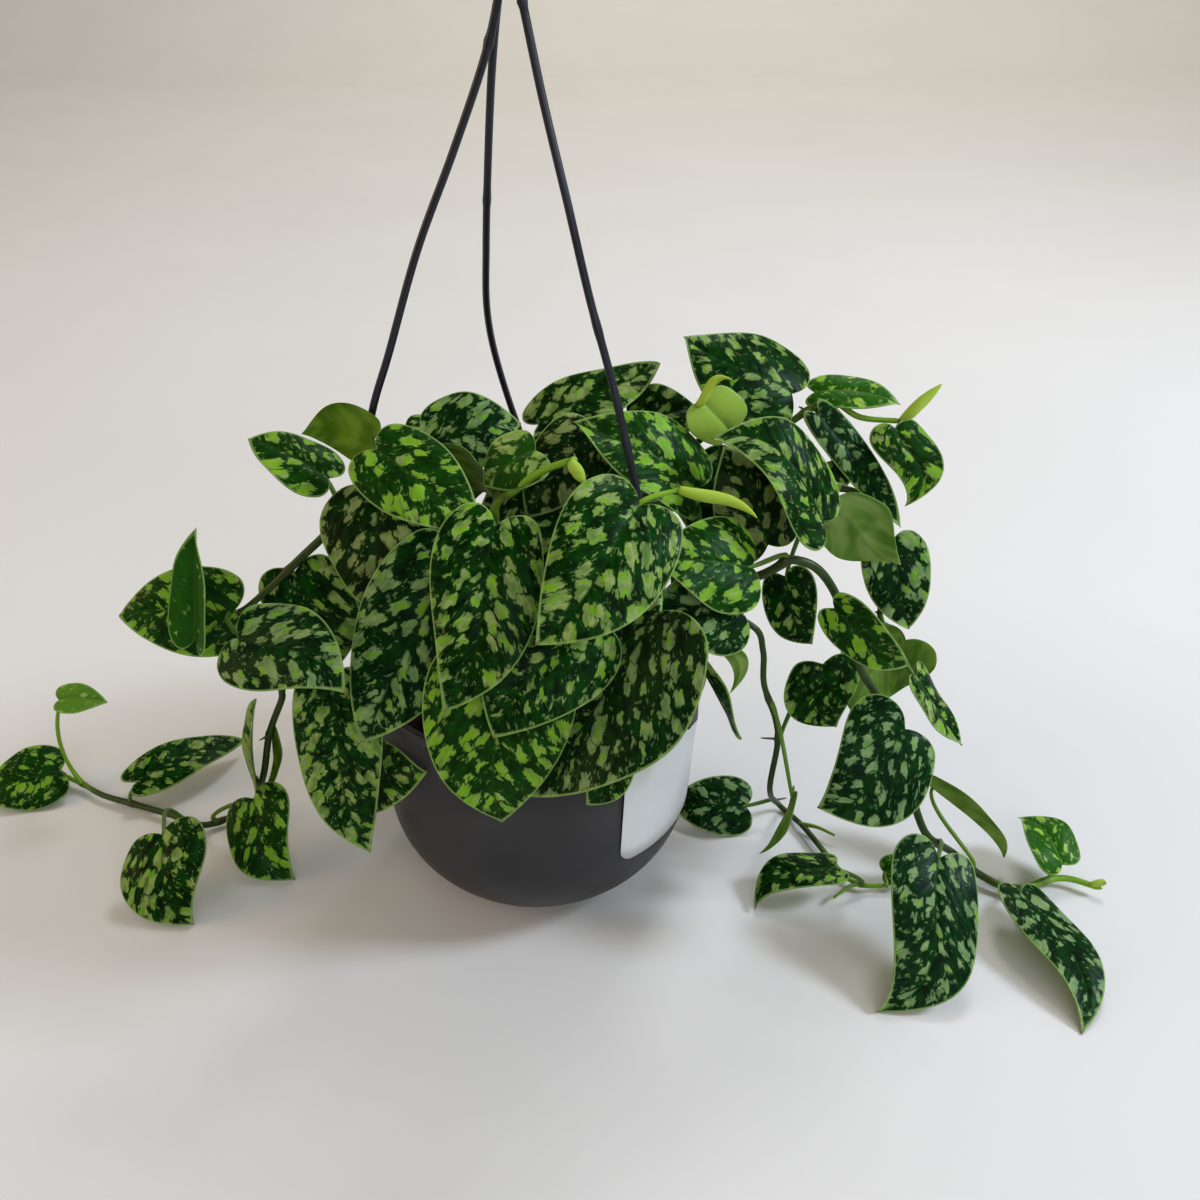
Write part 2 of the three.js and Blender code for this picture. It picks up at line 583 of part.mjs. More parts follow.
function hangerSolid() {
  const pieces = [];
  for (const { bearing, route } of RODS) {
    const foot = bearingVector(bearing).multiplyScalar(POT_TOP_RADIUS);
    const points = [...route, [foot.x, foot.y, CLIP_TOP - CLIP_THICK / 2]];
    pieces.push(tube(smoothCurve(points), ROD_RADIUS, ROD_SIDES, ROD_STEPS), ...clipGeometries(bearing));
  }
  const hub = new THREE.CylinderGeometry(HUB_TOP_RADIUS, HUB_RADIUS, HUB_HEIGHT, 2 * ROD_SIDES);
  hub.rotateX(Math.PI / 2);
  hub.translate(...HUB_PLACE);
  const [x, y, z] = HUB_PLACE;
  const centre = z + HUB_HEIGHT / 2 + HOOK_STEM + HOOK_RADIUS;
  const hookPoints = [[x, y, z], [x, y, centre - HOOK_RADIUS]];
  for (let i = 0; i <= HOOK_POINTS; i += 1) {
    const angle = THREE.MathUtils.degToRad(THREE.MathUtils.lerp(HOOK_FROM, HOOK_TO, i / HOOK_POINTS));
    const out = HOOK_RADIUS * Math.cos(angle);
    hookPoints.push([x + out, y, centre + HOOK_RADIUS * Math.sin(angle)]);
  }
  pieces.push(hub, tube(smoothCurve(hookPoints), HOOK_WIRE, ROD_SIDES, HOOK_STEPS));
  return fuse(pieces);
}

// Sticker: a thin sheet bent round the wall, with rounded lower corners
function stickerSolid() {
  const positions = [];
  const index = [];
  const arc = THREE.MathUtils.degToRad(STICKER_TO - STICKER_FROM) * wallRadius(STICKER_LOW);
  for (let i = 0; i <= STICKER_COLUMNS; i += 1) {
    const share = (1 - Math.cos((Math.PI * i) / STICKER_COLUMNS)) / 2;
    const fromEnd = Math.min(share, 1 - share) * arc;
    const inward = Math.max(0, STICKER_CORNER - fromEnd);
    const low = STICKER_LOW + STICKER_CORNER - Math.sqrt(STICKER_CORNER ** 2 - inward ** 2);
    const around = bearingVector(THREE.MathUtils.lerp(STICKER_FROM, STICKER_TO, share));
    for (const lift of [GAP, GAP + STICKER_THICK]) {
      for (const height of [low, STICKER_HIGH]) {
        const radius = wallRadius(height) + lift;
        positions.push(radius * around.x, radius * around.y, height);
      }
    }
  }
  const quad = (a, b, c, d) => index.push(a, b, c, a, c, d);
  for (let i = 0; i < STICKER_COLUMNS; i += 1) {
    const [inLow, inHigh, outLow, outHigh] = [0, 1, 2, 3].map((k) => 4 * i + k);
    quad(outLow, outLow + 4, outHigh + 4, outHigh);
    quad(inLow, inHigh, inHigh + 4, inLow + 4);
    quad(inLow, inLow + 4, outLow + 4, outLow);
    quad(inHigh, outHigh, outHigh + 4, inHigh + 4);
  }
  const end = 4 * STICKER_COLUMNS;
  quad(0, 2, 3, 1);
  quad(end, end + 1, end + 3, end + 2);
  const geometry = new THREE.BufferGeometry();
  geometry.setAttribute("position", new THREE.Float32BufferAttribute(positions, 3));
  geometry.setIndex(index);
  return toSolid(geometry);
}

const POT_PLASTIC = new THREE.MeshStandardMaterial({ color: "#3a383c", roughness: 0.5, metalness: 0 });
const HANGER_PLASTIC = new THREE.MeshStandardMaterial({ color: "#1b1d22", roughness: 0.45, metalness: 0 });
const POTTING_MIX = new THREE.MeshStandardMaterial({ color: "#3b2a1d", roughness: 0.95, metalness: 0 });
const STICKER_PAPER = new THREE.MeshStandardMaterial({ color: "#e9e8e6", roughness: 0.55, metalness: 0 });
const LEAF_GREEN = new THREE.MeshStandardMaterial({ color: "#2f5a2a", roughness: 0.5, metalness: 0 });

const plant = new THREE.Group();

function addMesh(name, solid, material) {
  const mesh = new THREE.Mesh(toGeometry(solid), material);
  mesh.name = name;
  plant.add(mesh);
}

const allStems = [...STEMS, ...BACK_STEMS.map(hangingStem)];
addMesh("pot", potSolid(), POT_PLASTIC);
addMesh("soil", soilSolid(allStems), POTTING_MIX);
addMesh("hanger", hangerSolid(), HANGER_PLASTIC);
addMesh("sticker", stickerSolid(), STICKER_PAPER);
let order = 0;
for (const stem of allStems) {
  addMesh(stem.name, leafyStem(stem, order), LEAF_GREEN);
  order += stem.leaves.length;
}

export default plant;
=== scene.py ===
import functools
import math
import random

import bpy
import numpy as np
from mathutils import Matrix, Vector, noise


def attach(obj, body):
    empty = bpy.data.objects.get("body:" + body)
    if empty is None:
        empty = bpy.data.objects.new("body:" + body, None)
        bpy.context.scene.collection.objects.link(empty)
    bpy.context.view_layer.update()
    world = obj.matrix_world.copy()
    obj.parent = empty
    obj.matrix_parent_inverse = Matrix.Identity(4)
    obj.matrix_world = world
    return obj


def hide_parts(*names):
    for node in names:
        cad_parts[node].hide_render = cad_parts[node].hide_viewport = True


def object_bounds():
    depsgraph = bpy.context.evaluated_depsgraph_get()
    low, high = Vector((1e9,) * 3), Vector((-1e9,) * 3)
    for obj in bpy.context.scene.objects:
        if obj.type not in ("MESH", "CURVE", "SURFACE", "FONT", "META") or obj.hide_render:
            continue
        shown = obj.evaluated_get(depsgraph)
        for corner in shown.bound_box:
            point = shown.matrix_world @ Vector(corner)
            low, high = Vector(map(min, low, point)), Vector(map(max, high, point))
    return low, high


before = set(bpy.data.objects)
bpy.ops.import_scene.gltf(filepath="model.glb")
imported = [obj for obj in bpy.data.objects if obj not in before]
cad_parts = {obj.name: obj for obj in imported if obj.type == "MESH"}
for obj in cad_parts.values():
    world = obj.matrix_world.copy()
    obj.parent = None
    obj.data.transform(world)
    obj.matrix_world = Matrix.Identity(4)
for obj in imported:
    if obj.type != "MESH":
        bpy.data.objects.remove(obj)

# A tricolor silver scindapsus in its hanging pot. Lengths are millimetres, as in the CAD model, until a mesh
# is made. Only the camera, the lights and the studio floor are placed in metres.
CAD_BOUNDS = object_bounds()
MM = 0.001
CM = 10
random.seed(7)

# Camera: where the photograph was taken from, how far down it looks, and its lens
CAMERA_PLACE = (0.0286, -0.445, 0.399)
CAMERA_PITCH = 30
CAMERA_LENS = 35.46
CAMERA_SENSOR = 36
CAMERA_REACH = 60

# Studio: a floor that curves up into a backdrop, and soft lights
FLOOR_HALF_WIDTH = 7.0
FLOOR_FRONT = -5.0
FLOOR_BACK = 3.2
FLOOR_CURVE = 1.2
BACKDROP_TOP = 5.0
CURVE_STEPS = 24
# Each light's name, place, the point that it faces, its width, height, power and tint
LIGHTS = [
    ("window_side", (1.7, -0.15, 1.35), (0.1, 0, 0.1), 0.45, 0.45, 24, "#dce9ff"),
    ("overhead", (0.5, 1.1, 1.9), (0, 0, 0.1), 0.6, 0.6, 10, "#f8f9ff"),
    ("front_fill", (0.5, -1.9, 1.3), (0, 0, 0.1), 1.6, 1.0, 10, "#f4f7ff"),
    ("left_glow", (-1.9, -0.3, 0.9), (-0.4, -0.1, 0), 1.2, 1.0, 9, "#ffd9ac"),
    ("backdrop_wash", (0.6, 2.4, 2.8), (0.3, 5.0, 0.6), 3.0, 1.5, 42, "#fbf4ea"),
]
ROOM_TINT = "#f2f1eb"
ROOM_POWER = 0.32

# Pot: a round bowl under a wall that leans outward, on a low foot ring, with a bead round its rim
POT_HEIGHT = 115
POT_TOP_RADIUS = 75
POT_WALL = 1.8
WALL_LEAN = math.radians(4.4)
BOWL_RADIUS = 51
BOWL_STEPS = 24
INSIDE_STEPS = 16
FOOT_RADIUS = 38
FOOT_RING = 6
FOOT_BEVEL = 1.5
FOOT_EDGE = 0.6
FOOT_LIFT = 0.8
BEAD_OUT = 1.6
BEAD_HEIGHT = 5
BEAD_CREASE = 0.1
BEAD_ROUND = 1.6
BEAD_UNDER_ROUND = 0.9
RIM_INSIDE_ROUND = 0.7
POT_SIDES = 144

# Soil: its body, its lumps and the crumbs that lie on it
SOIL_TOP = 104
SOIL_CLEAR = 0.5
SOIL_CROWN = 1.5
SOIL_EDGE_DROP = 0.5
SOIL_SIDE_DROP = 1.5
SOIL_SIDE_STEPS = 8
SOIL_RINGS = 44
SOIL_SIDES = 96
COARSE_LUMP = 9
COARSE_RISE = 1.6
FINE_LUMP = 2.6
FINE_RISE = 1.1
CRUMB_COUNT = 420
CRUMB_SIZES = (0.8, 1.1, 1.5, 2.3)
CRUMB_EDGE = 5
CRUMB_CROWN = 1.4
CRUMB_SEAT = 0.3
CRUMB_LEVELS = (-0.95, -0.4, 0.35, 0.95)
CRUMB_SIDES = 6

# Hanger: rods, the clips at their feet, the hub that they leave, with its radii from the foot up, and the
# hook on it
ROD_RADIUS = 1.5
ROD_STEPS = 90
ROD_SIDES = 14
ROD_SEAT = 1.1
CLIP_GAP = 0.3
CLIP_INSIDE_GAP = 1.3
CLIP_THICK = 1.6
CLIP_WIDTH = 9
CLIP_DROP = 11
CLIP_INSIDE_DROP = 5
CLIP_ROUND = 1.3
CLIP_EDGE = 0.35
HUB_PLACE = (-2, 0, 388)
HUB_HEIGHT = 9
HUB_EDGE = 0.8
HUB_RADII = (4.2, 5, 3.2, 2.6)
HUB_SIDES = 24
HOOK_RADIUS = 12
HOOK_WIRE = 1.85
HOOK_TIP = 1.2
HOOK_STEM = 8
HOOK_TURN_STEP = 23
HOOK_FROM = -60
HOOK_TO = 170
HOOK_STEPS = 80
HOOK_SIDES = 16

# Sticker: angles round the pot in degrees, heights up its wall, and how far off the wall its faces lie
STICKER_FROM = -58
STICKER_TO = 4
STICKER_LOW = 45
STICKER_HIGH = 104
STICKER_CORNER = 7
STICKER_BACK = 0.35
STICKER_FACE = 0.6
STICKER_COLUMNS = 60
STICKER_ROWS = 8

# Leaf blades
BLADE_CUP = 0.26
BLADE_WAVE = 0.03
WAVE_TURNS = 9
WAVE_SHIFT = 2.1
ARCH_FULL = 4
SWEEP_FULL = 6.75
BLADE_ROWS = 36
BLADE_THICK = 0.5
RIM_THICK = 0.3
RIB_DEPTH = 0.45
RIB_WIDTH = 1.3
RIB_LEAD = 0.15
RIB_GROWTH = 1.6
# Where the points across half a blade lie, as shares of the way from the midrib to the margin
REACHES = [0.06, 0.16, 0.3, 0.44, 0.58, 0.72, 0.84, 0.93, 0.98, 1]
# How far the side veins lean to the tip, how much more near the margin, and where the lean is full
VEIN_LEAN = 0.45
VEIN_CURVE = 0.5
VEIN_FULL = 0.4

# New leaves, still rolled: a spindle with a seam that winds along it
ROLL_STEPS = 24
ROLL_SIDES = 16
ROLL_WIDTH = 0.36
ROLL_START = 0.18
ROLL_FULLNESS = 0.8
ROLL_TIP = 0.15
SEAM_STEP = 0.16
SEAM_TURN = 0.9
ROLL_FROM_TIP = 5
ROLL_FROM_MARGIN = 3

# Petioles: how they leave the stem, arrive at the leaf, and thin out
PETIOLE_SEAT = 0.22
PETIOLE_SINK = 0.7
PETIOLE_REACH = 0.3
PETIOLE_LIFT = 0.2
PETIOLE_STRAIGHT = 0.8
PETIOLE_ALONG = 0.45
PETIOLE_UP = 0.4
PETIOLE_STEPS = 16
PETIOLE_SIDES = 8
PETIOLE_RADIUS = 0.9
SHEATH_RADIUS = 1.5
SHEATH_SHARE = 1 / 3
PETIOLE_BELLY = 0.15
PETIOLE_TAPER = 0.4
TAPER_FROM = 0.7

# Stems: swollen at their nodes, thinner and greener where young, with dry aerial roots
STEM_FOOT = 107
STEM_STEPS = 14
STEM_SIDES = 12
BURIED = 20
NODE_SWELL = 0.22
NODE_LENGTH = 2.5
NODE_TONE_LENGTH = 2.2
YOUNG_LENGTH = 40
YOUNG_THIN = 0.25
END_ROUND = 3
END_LEAST = 0.08
YOUNG_FADE = 1.6
ROOT_RADII = [0.75, 0.7, 0.62, 0.55, 0.45, 0.3]
ROOT_SIDES = 6
ROOT_CURL = 0.35
ROOT_SHORTEST = 2.5
ROOT_LONGEST = 6
ROOT_CLEAR = 12
ROOT_LEAST_OFFSET = 0.1
# How far to both sides of a node, in points of the stem's path, the stem's direction there is taken
PETIOLE_NEARBY = 0.05
ROOT_NEARBY = 0.1
SHOOT_STEPS = 15
SHOOT_RADII = (1.2, 0.6)
SHOOT_SIDES = 8

# Leaf markings: a step in their grain sets each leaf apart, and another each half of a leaf
LEAF_STEP = 100
HALF_STEP = 60
VEIN_STEP = 5.2
SPLASH_LENGTH = 10.5
SPLASH_WIDTH = 5.5
SPLASH_TURN = -55
ISLET_SHARE = 0.33
# How many of each marking fit along a centimetre of leaf, and how far the splashes' edges bend and fray
BENDS = 2 / CM
FRAYS = 7 / CM
LIGHTER_AREAS = 0.7 / CM
LIME_PATCHES = 2.2 / CM
MOTTLES = 1.6 / CM
SPOTS = 15 / CM
BEND_REACH = (5, 5, 0)
FRAY_REACH = (2.6, 3.6, 0)
STALK_STREAKS = (1.2 / CM, 9, 1)

# Half of a leaf's outline, from the notch to the tip, as shares of its length and half its width
OUTLINE = [
    (0, 0), (-0.065, 0.2), (-0.09, 0.46), (-0.05, 0.73), (0.075, 0.93), (0.235, 1),
    (0.41, 0.96), (0.59, 0.81), (0.76, 0.57), (0.9, 0.27), (1, 0),
]

# The clips' bearings on the rim, and the route of each rod from the hub down to its clip
RODS = [
    (-30, [
        (0, -2, 386), (3, -3, 373), (9, -8, 345), (17, -16, 313), (25, -23, 280), (34, -31, 248),
        (42, -40, 214), (49, -46, 180), (59, -44, 148),
    ]),
    (77, [
        (-3, 2, 386), (-6, 4, 375), (-10, 12, 350), (-14, 24, 315), (-17, 36, 285), (-19, 48, 255),
        (-16, 59, 226), (-6, 68, 185), (8, 72, 145),
    ]),
    (-168, [
        (-3, -1, 386), (-10, -2, 360), (-23, -4, 328), (-38, -8, 294), (-51, -11, 257), (-60, -12, 232),
        (-67, -10, 200), (-72, -11, 160), (-74, -13, 135),
    ]),
]
# The small bulges on each rod, by its clip's bearing: their places and their length are counted in points
# of its route, and their rise in millimetres
ROD_NUBS = {-30: (0.9, 4.3, 5.1, 5.6), 77: (0.8, 3.3), -168: (0.9,)}
NUB_LENGTH = 0.05
NUB_RISE = 0.45

# How each kind of leaf looks: its share of splashes, their share of lime, its cast from blue at -1 to bronze
# at 1, and how young it is. The bronze cast is partly an aged brownish tone and partly painted shade, given
# to leaves that lie in shade.
LOOKS = {
    "tricolor": (0.44, 0.4, 0, 0),
    "lime": (0.42, 0.72, 0, 0.1),
    "silver": (0.5, 0.3, -0.1, 0),
    "bluish": (0.46, 0.35, -0.35, 0),
    "bronze": (0.48, 0.2, 0.4, 0),
    "dark": (0.35, 0.42, -0.1, 0),
    "spotted": (0.36, 0.22, -0.4, 0),
    "fringed": (0.42, 0.3, 0.3, 0.3),
    "fresh": (0.3, 0.7, 0, 0.5),
    "plain": (0.12, 0.3, 0, 0.4),
    "young": (0.2, 0.4, 0, 0.9),
    "pale": (0, 0, 0, 1),
    "grey": (0.8, 0.1, 0.2, 0.25),
    "rolled": (0, 0, 0, 1.4),
}
# How a stem's skin looks: how much of it is a petiole's, how young it is, and its bronze cast, which is
# partly an aged tone and partly painted shade
OLD_STEM = (0, 0, 0, 0)
SHOOT_LOOK = (0.5, 0.6, 0, 0)

# Each stem has the path it runs along and its leaves. A leaf has the place on the path that it grows from,
# its base and tip, the bearing and height that its upper side faces, its width, arch, fold, sweep and look.
STEMS = [
    {"name": "stem_floor_left", "thick": 3.2, "path": [
        [-38, 6, 107], [-55, 6, 132], [-88, 6, 132], [-115, 6, 96], [-119, 6, 85], [-128, 8, 64],
        [-135, 10, 38], [-149, 25, 6], [-160, 18, 4], [-172, 13, 4], [-190, 21, 4], [-208, 28, 4],
        [-229, 36, 4], [-243, 45, 4], [-255, 51, 5],
    ], "leaves": [
        [14, [-254, 45, 13], [-292, 34, 5], [-100, 50], 35, 4, 8, 0, "lime"],
        [13, [-242, 42, 60], [-220, 46, 56], [-120, 50], 18, 3, 25, 0, "young"],
        [11.2, [-210, 36, 14], [-166, 78, 8], [-100, 65], 27, 6, 10, 0, "tricolor"],
        [9.6, [-175, -24, 30], [-157, -52, 1], [-95, 35], 44, 5, 10, -6, "tricolor"],
        [8.3, [-139, 2, 30], [-117, -23, 1], [-100, 35], 36, 5, 12, -6, "lime"],
        [6.5, [-140, 12, 33], [-131, 6, 86], [-154, 0], 22, 2, 25, 0, "grey"],
        [5, [-126, 10, 67], [-133, 8, 33], [25, 10], 18, 2, 20, 0, "tricolor"],
    ]},
    {"name": "stem_high_left", "thick": 3.4, "path": [
        [-44, -8, 107], [-52, -8, 150], [-51, -12, 205], [-61, -14, 205], [-70, -18, 198], [-80, -20, 186],
        [-93, -22, 174], [-106, -24, 162], [-117, -26, 153], [-123, -28, 150],
    ], "leaves": [
        [4.3, [-79, -16, 207], [-112, -4, 219], [-100, 70], 26, 3, 8, 0, "lime"],
        [9, [-121, -30, 154], [-169, -28, 151], [-95, 38], 38, 4, 8, -1, "lime"],
        [9, [-130, -52, 154], [-123, -48, 201], [-115, 15], 24, 0, 38, 0, "plain"],
        [8.4, [-110, -60, 160], [-65, -87, 153], [-95, 42], 37, 4, 8, 6, "bluish"],
        [6.4, [-96, -22, 168], [-82, -32, 127], [-100, 25], 40, 4, 10, 4, "tricolor"],
    ]},
    {"name": "stem_crown_left", "thick": 3.2, "path": [
        [-30, -20, 107], [-36, -20, 150], [-43, -22, 209], [-54, -22, 216],
    ], "leaves": [
        [1.6, [-57, -25, 204], [-60, -50, 165], [-100, 28], 48, 5, 8, 2, "bronze"],
        [3, [-56, -30, 225], [-15, -56, 202], [-95, 50], 35, 5, 8, 0, "lime"],
        [3, [-58, -20, 225], [-88, -12, 224], [80, -20], 22, 2, 10, 4, "tricolor"],
        [2.6, [-34, -15, 216], [-12, -25, 202], [60, 30], 30, 3, 10, 0, "tricolor"],
    ]},
    {"name": "stem_crown_back_left", "thick": 3, "path": [
        [-20, 20, 107], [-26, 20, 150], [-39, 20, 213],
    ], "leaves": [
        [2, [-41, 10, 212], [-4, 15, 218], [-95, 45], 38, 4, 8, 0, "bluish"],
        [1.6, [-40, 25, 209], [-55, 22, 202], [-120, 50], 28, 4, 8, 0, "tricolor"],
    ]},
    {"name": "stem_front_left", "thick": 3.2, "path": [
        [-45, -32, 107], [-46, -38, 140], [-50, -46, 150], [-66, -47, 138],
    ], "leaves": [
        [2, [-27, -50, 188], [-63, -76, 122], [-95, 30], 50, 6, 8, 0, "bluish"],
        [2.8, [-80, -48, 130], [-70, -60, 51], [-95, 22], 38, 4, 10, -4, "silver"],
        [3, [-81, -36, 75], [-42, -62, 97], [-100, 30], 34, 3, 10, 0, "dark"],
    ]},
    {"name": "stem_front_middle", "thick": 3.2, "path": [
        [-20, -42, 107], [-17, -44, 140], [-5, -52, 195], [-4, -60, 190],
    ], "leaves": [
        [2, [-9, -62, 209], [-28, -95, 150], [-92, 32], 42, 7, 8, 6, "tricolor"],
        [3, [-7, -80, 165], [-9, -95, 98], [-90, 28], 58, 6, 8, -3, "lime"],
        [1.4, [21, -30, 195], [2, -46, 177], [-95, 40], 38, 4, 8, 0, "dark"],
    ]},
    {"name": "stem_front_right", "thick": 3.2, "path": [
        [22, -36, 107], [26, -35, 145], [40, -47, 205], [36, -60, 200],
    ], "leaves": [
        [2, [43, -62, 217], [6, -97, 180], [-90, 32], 46, 7, 8, 4, "tricolor"],
        [3, [22, -74, 175], [-10, -100, 142], [-90, 32], 45, 5, 8, -3, "dark"],
        [2, [58, -44, 215], [87, -50, 206], [-90, 60], 6, 2, 60, 3, "rolled"],
    ]},
    {"name": "stem_front_low", "thick": 3, "path": [
        [40, -40, 107], [44, -46, 135], [44, -62, 166],
    ], "leaves": [
        [2, [50, -75, 180], [1, -90, 107], [-134, 63], 68, 0, 1, 2, "bluish"],
        [1.2, [36, -76, 123], [23, -81, 95], [-90, 30], 20, 3, 8, 3, "dark"],
    ]},
    {"name": "stem_new_shoot", "thick": 3.4, "path": [
        [0, -25, 107], [-2, -28, 160], [-12, -36, 200], [-2, -38, 213], [8, -40, 221], [19, -42, 226],
    ], "leaves": [
        [2.6, [4, -28, 224], [-16, -33, 211], [-100, 50], 26, 3, 10, 0, "fringed"],
        [5, [18, -44, 226], [23, -50, 220], [0, 20], 6, 0, 60, 0, "rolled"],
        [2, [25, -10, 224], [0, -32, 197], [-95, 45], 32, 4, 8, 0, "bronze"],
    ]},
    {"name": "stem_crown_back", "thick": 3, "path": [
        [5, 20, 107], [8, 22, 160], [12, 25, 212], [29, 20, 221],
    ], "leaves": [
        [2, [3, 20, 216], [54, 35, 237], [-90, 60], 30, 4, 8, -3, "silver"],
        [1.6, [32, 3, 206], [-22, -9, 183], [-90, 45], 48, 4, 8, 0, "dark"],
        [3, [45, 25, 212], [70, 30, 219], [-80, 50], 34, 4, 8, 0, "dark"],
    ]},
    {"name": "stem_top_right", "thick": 3, "path": [
        [30, 25, 107], [36, 25, 160], [79, 20, 217], [99, 20, 226],
    ], "leaves": [
        [3, [108, 20, 229], [63, 30, 250], [-172, 43], 43, 4, 2, 4, "dark"],
        [2, [67, -4, 233], [80, -6, 244], [-95, 40], 5, 1, 60, 4, "rolled"],
        [2, [70, -1, 233], [80, 8, 213], [-91, 34], 25, 5, 13, 2, "pale"],
    ]},
    {"name": "stem_crown_right", "thick": 3, "path": [
        [45, -5, 107], [50, -5, 155], [93, -15, 188], [118, -20, 187],
    ], "leaves": [
        [1.4, [67, -14, 202], [18, -14, 230], [-72, 56], 41, 7, 19, 2, "lime"],
        [1.2, [87, 2, 205], [67, -10, 174], [-90, 35], 36, 4, 8, 0, "dark"],
        [3, [116, -30, 195], [71, -24, 227], [-101, 63], 37, 9, 14, -8, "tricolor"],
        [2, [96, -25, 182], [77, -12, 219], [-85, 45], 36, 4, 8, 0, "bronze"],
    ]},
    {"name": "stem_main_right", "thick": 3.6, "path": [
        [55, -25, 107], [62, -27, 150], [96, -34, 175], [103, -34, 180], [114, -33, 176], [123, -32, 164],
        [130, -31, 146], [138, -30, 126], [148, -30, 109], [159, -30, 81], [169, -30, 56], [178, -31, 36],
        [196, -18, 14], [209, -25, 6], [223, -33, 5], [247, -26, 5], [264, -33, 5],
    ], "leaves": [
        [2.6, [87, -44, 182], [49, -56, 192], [-88, 45], 39, 3, 8, 0, "lime"],
        [6, [121, -43, 163], [152, -51, 141], [-142, 28], 22, 5, 19, -1, "lime"],
        [9, [156, -45, 106], [119, -62, 78], [-92, 30], 47, 4, 8, 8, "spotted"],
        [11.4, [176, -56, 45], [144, -102, 1], [-92, 30], 43, 7, 10, 12, "spotted"],
        [14, [220, -47, 16], [227, -113, 1], [-75, 30], 30, 6, 10, 8, "spotted"],
        [14.6, [246, -26, 14], [232, 0, 20], [120, 40], 28, 4, 15, -3, "fresh"],
        [12.6, [186, 1, 40], [223, -15, 8], [40, 30], 24, 1, 35, -7, "fresh"],
    ]},
    {"name": "stem_thin_right", "thick": 2.8, "path": [
        [60, 0, 107], [70, -2, 140], [94, -10, 135], [100, -8, 121], [102, -6, 102], [109, -4, 81],
        [111, -3, 66], [110, 0, 37], [121, 28, 4], [131, 11, 4], [143, -19, 4], [151, -29, 4],
        [163, -30, 4],
    ], "leaves": [
        [7.6, [102, 19, 11], [64, 23, 9], [-90, 50], 31, 4, 8, 0, "spotted"],
        [11, [138, -30, 16], [100, -44, 2], [-145, 82], 24, 6, 12, -7, "dark"],
        [12, [163, -25, 8], [179, -21, 8], [-90, 50], 16, 2, 20, 0, "fresh"],
        [5.8, [127, -8, 114], [135, -14, 84], [-100, 30], 34, 4, 5, -6, "dark"],
        [4.4, [116, -28, 57], [102, -34, 27], [0, 0], 12, 3, 15, 0, "plain"],
    ]},
    {"name": "stem_high_right", "thick": 3, "path": [
        [40, 30, 107], [50, 30, 165], [105, 25, 211], [115, 25, 219], [122, 25, 223], [128, 25, 223],
        [138, 24, 217], [155, 22, 216],
    ], "leaves": [
        [5, [119, 30, 226], [155, 26, 222], [-90, 60], 19, 4, 10, 0, "fresh"],
        [7, [155, 22, 216], [171, 26, 231], [160, 20], 6, 0, 50, 0, "rolled"],
        [7, [151, 14, 216], [156, 2, 186], [-85, 20], 25, 3, 8, 8, "lime"],
        [3.6, [120, 18, 220], [158, 10, 172], [-80, 30], 17, 4, 10, 0, "spotted"],
        [3, [127, 15, 201], [133, 10, 192], [-90, 30], 13, 2, 10, 0, "dark"],
    ]},
    {"name": "stem_back_right", "thick": 3, "path": [
        [50, 15, 107], [62, 15, 150], [114, 15, 183], [135, 14, 188], [149, 14, 174], [154, 14, 154],
        [155, 14, 124],
    ], "leaves": [
        [2.6, [125, -2, 187], [155, -8, 164], [90, 40], 46, 5, 10, 8, "pale"],
        [4, [155, 12, 164], [165, 0, 127], [-90, 28], 31, 4, 10, -1, "bluish"],
        [2.1, [109, 5, 151], [123, 0, 119], [-110, 20], 25, 4, 10, -3, "dark"],
        [6, [166, 8, 117], [144, 0, 83], [90, 20], 50, 5, 10, 0, "grey"],
        [5.9, [170, -5, 106], [193, -14, 74], [-45, 82], 24, 0, 11, -1, "tricolor"],
    ]},
    {"name": "stem_low_right", "thick": 2.6, "path": [
        [50, -30, 107], [57, -33, 130], [78, -46, 160],
    ], "leaves": [
        [2, [84, -51, 166], [48, -58, 174], [-90, 40], 36, 4, 8, 0, "bluish"],
        [1.6, [72, -58, 157], [80, -58, 133], [65, -7], 10, 7, 12, -5, "pale"],
        [1.6, [67, -51, 146], [85, -61, 112], [-175, 17], 20, 0, 1, 1, "dark"],
    ]},
]

# Behind the crown, where the stems hang alike: the bearing of each, how far out it hangs, how low it
# reaches, how many leaves it has, and the side that its first leaf is on
BACK_STEMS = [
    ("stem_back_1", 45, 92, 62, 4, -1),
    ("stem_back_2", 74, 92, 36, 5, -1),
    ("stem_back_3", 102, 96, 54, 4, 1),
    ("stem_back_4", 130, 86, 70, 4, 1),
]
BACK_STEM_THICK = 3
BACK_STEM_ROOT = 44
BACK_STEM_RISE = 142
BACK_STEM_TOP = 172
BACK_STEM_BEND = 158
BACK_STEM_LEAN = 6
BACK_STEM_SHOULDER = 28
BACK_STEM_TUCK = 1
BACK_STEM_CLEAR = 10
BACK_LEAF_FIRST = 0.3
BACK_LEAF_BASE = {"out": 13, "up": 10, "aside": 9}
BACK_LEAF_TIP = {"out": 24, "down": 30, "aside": 20, "flare": 6, "lift": 24}
BACK_LEAF = {"width": 34, "arch": 5, "fold": 9, "sweep": 3, "height": 35, "turn": 12}
BACK_LOOKS = ("tricolor", "lime", "silver")

# Small growth on the stems: how far back from its end a stem is fresh green, thin side shoots, and a new
# leaf at the end of the longest stem
YOUNG_ENDS = {
    "stem_new_shoot": 75, "stem_high_right": 60, "stem_main_right": 60, "stem_thin_right": 45,
    "stem_floor_left": 25,
}
SIDE_SHOOTS = {
    "stem_thin_right": [
        [[129, 14, 4], [137, 9, 6], [145, 4, 5]], [[153, -28, 4], [145, -33, 6], [137, -39, 5]],
    ],
    "stem_crown_left": [[[-54, -22, 216], [-60, -25, 214], [-64, -30, 210]]],
}
END_BUDS = {"stem_main_right": [16, [259, -31, 6], [267, -34, 9], [0, 90], 4, 0, 0, 1, "rolled"]}

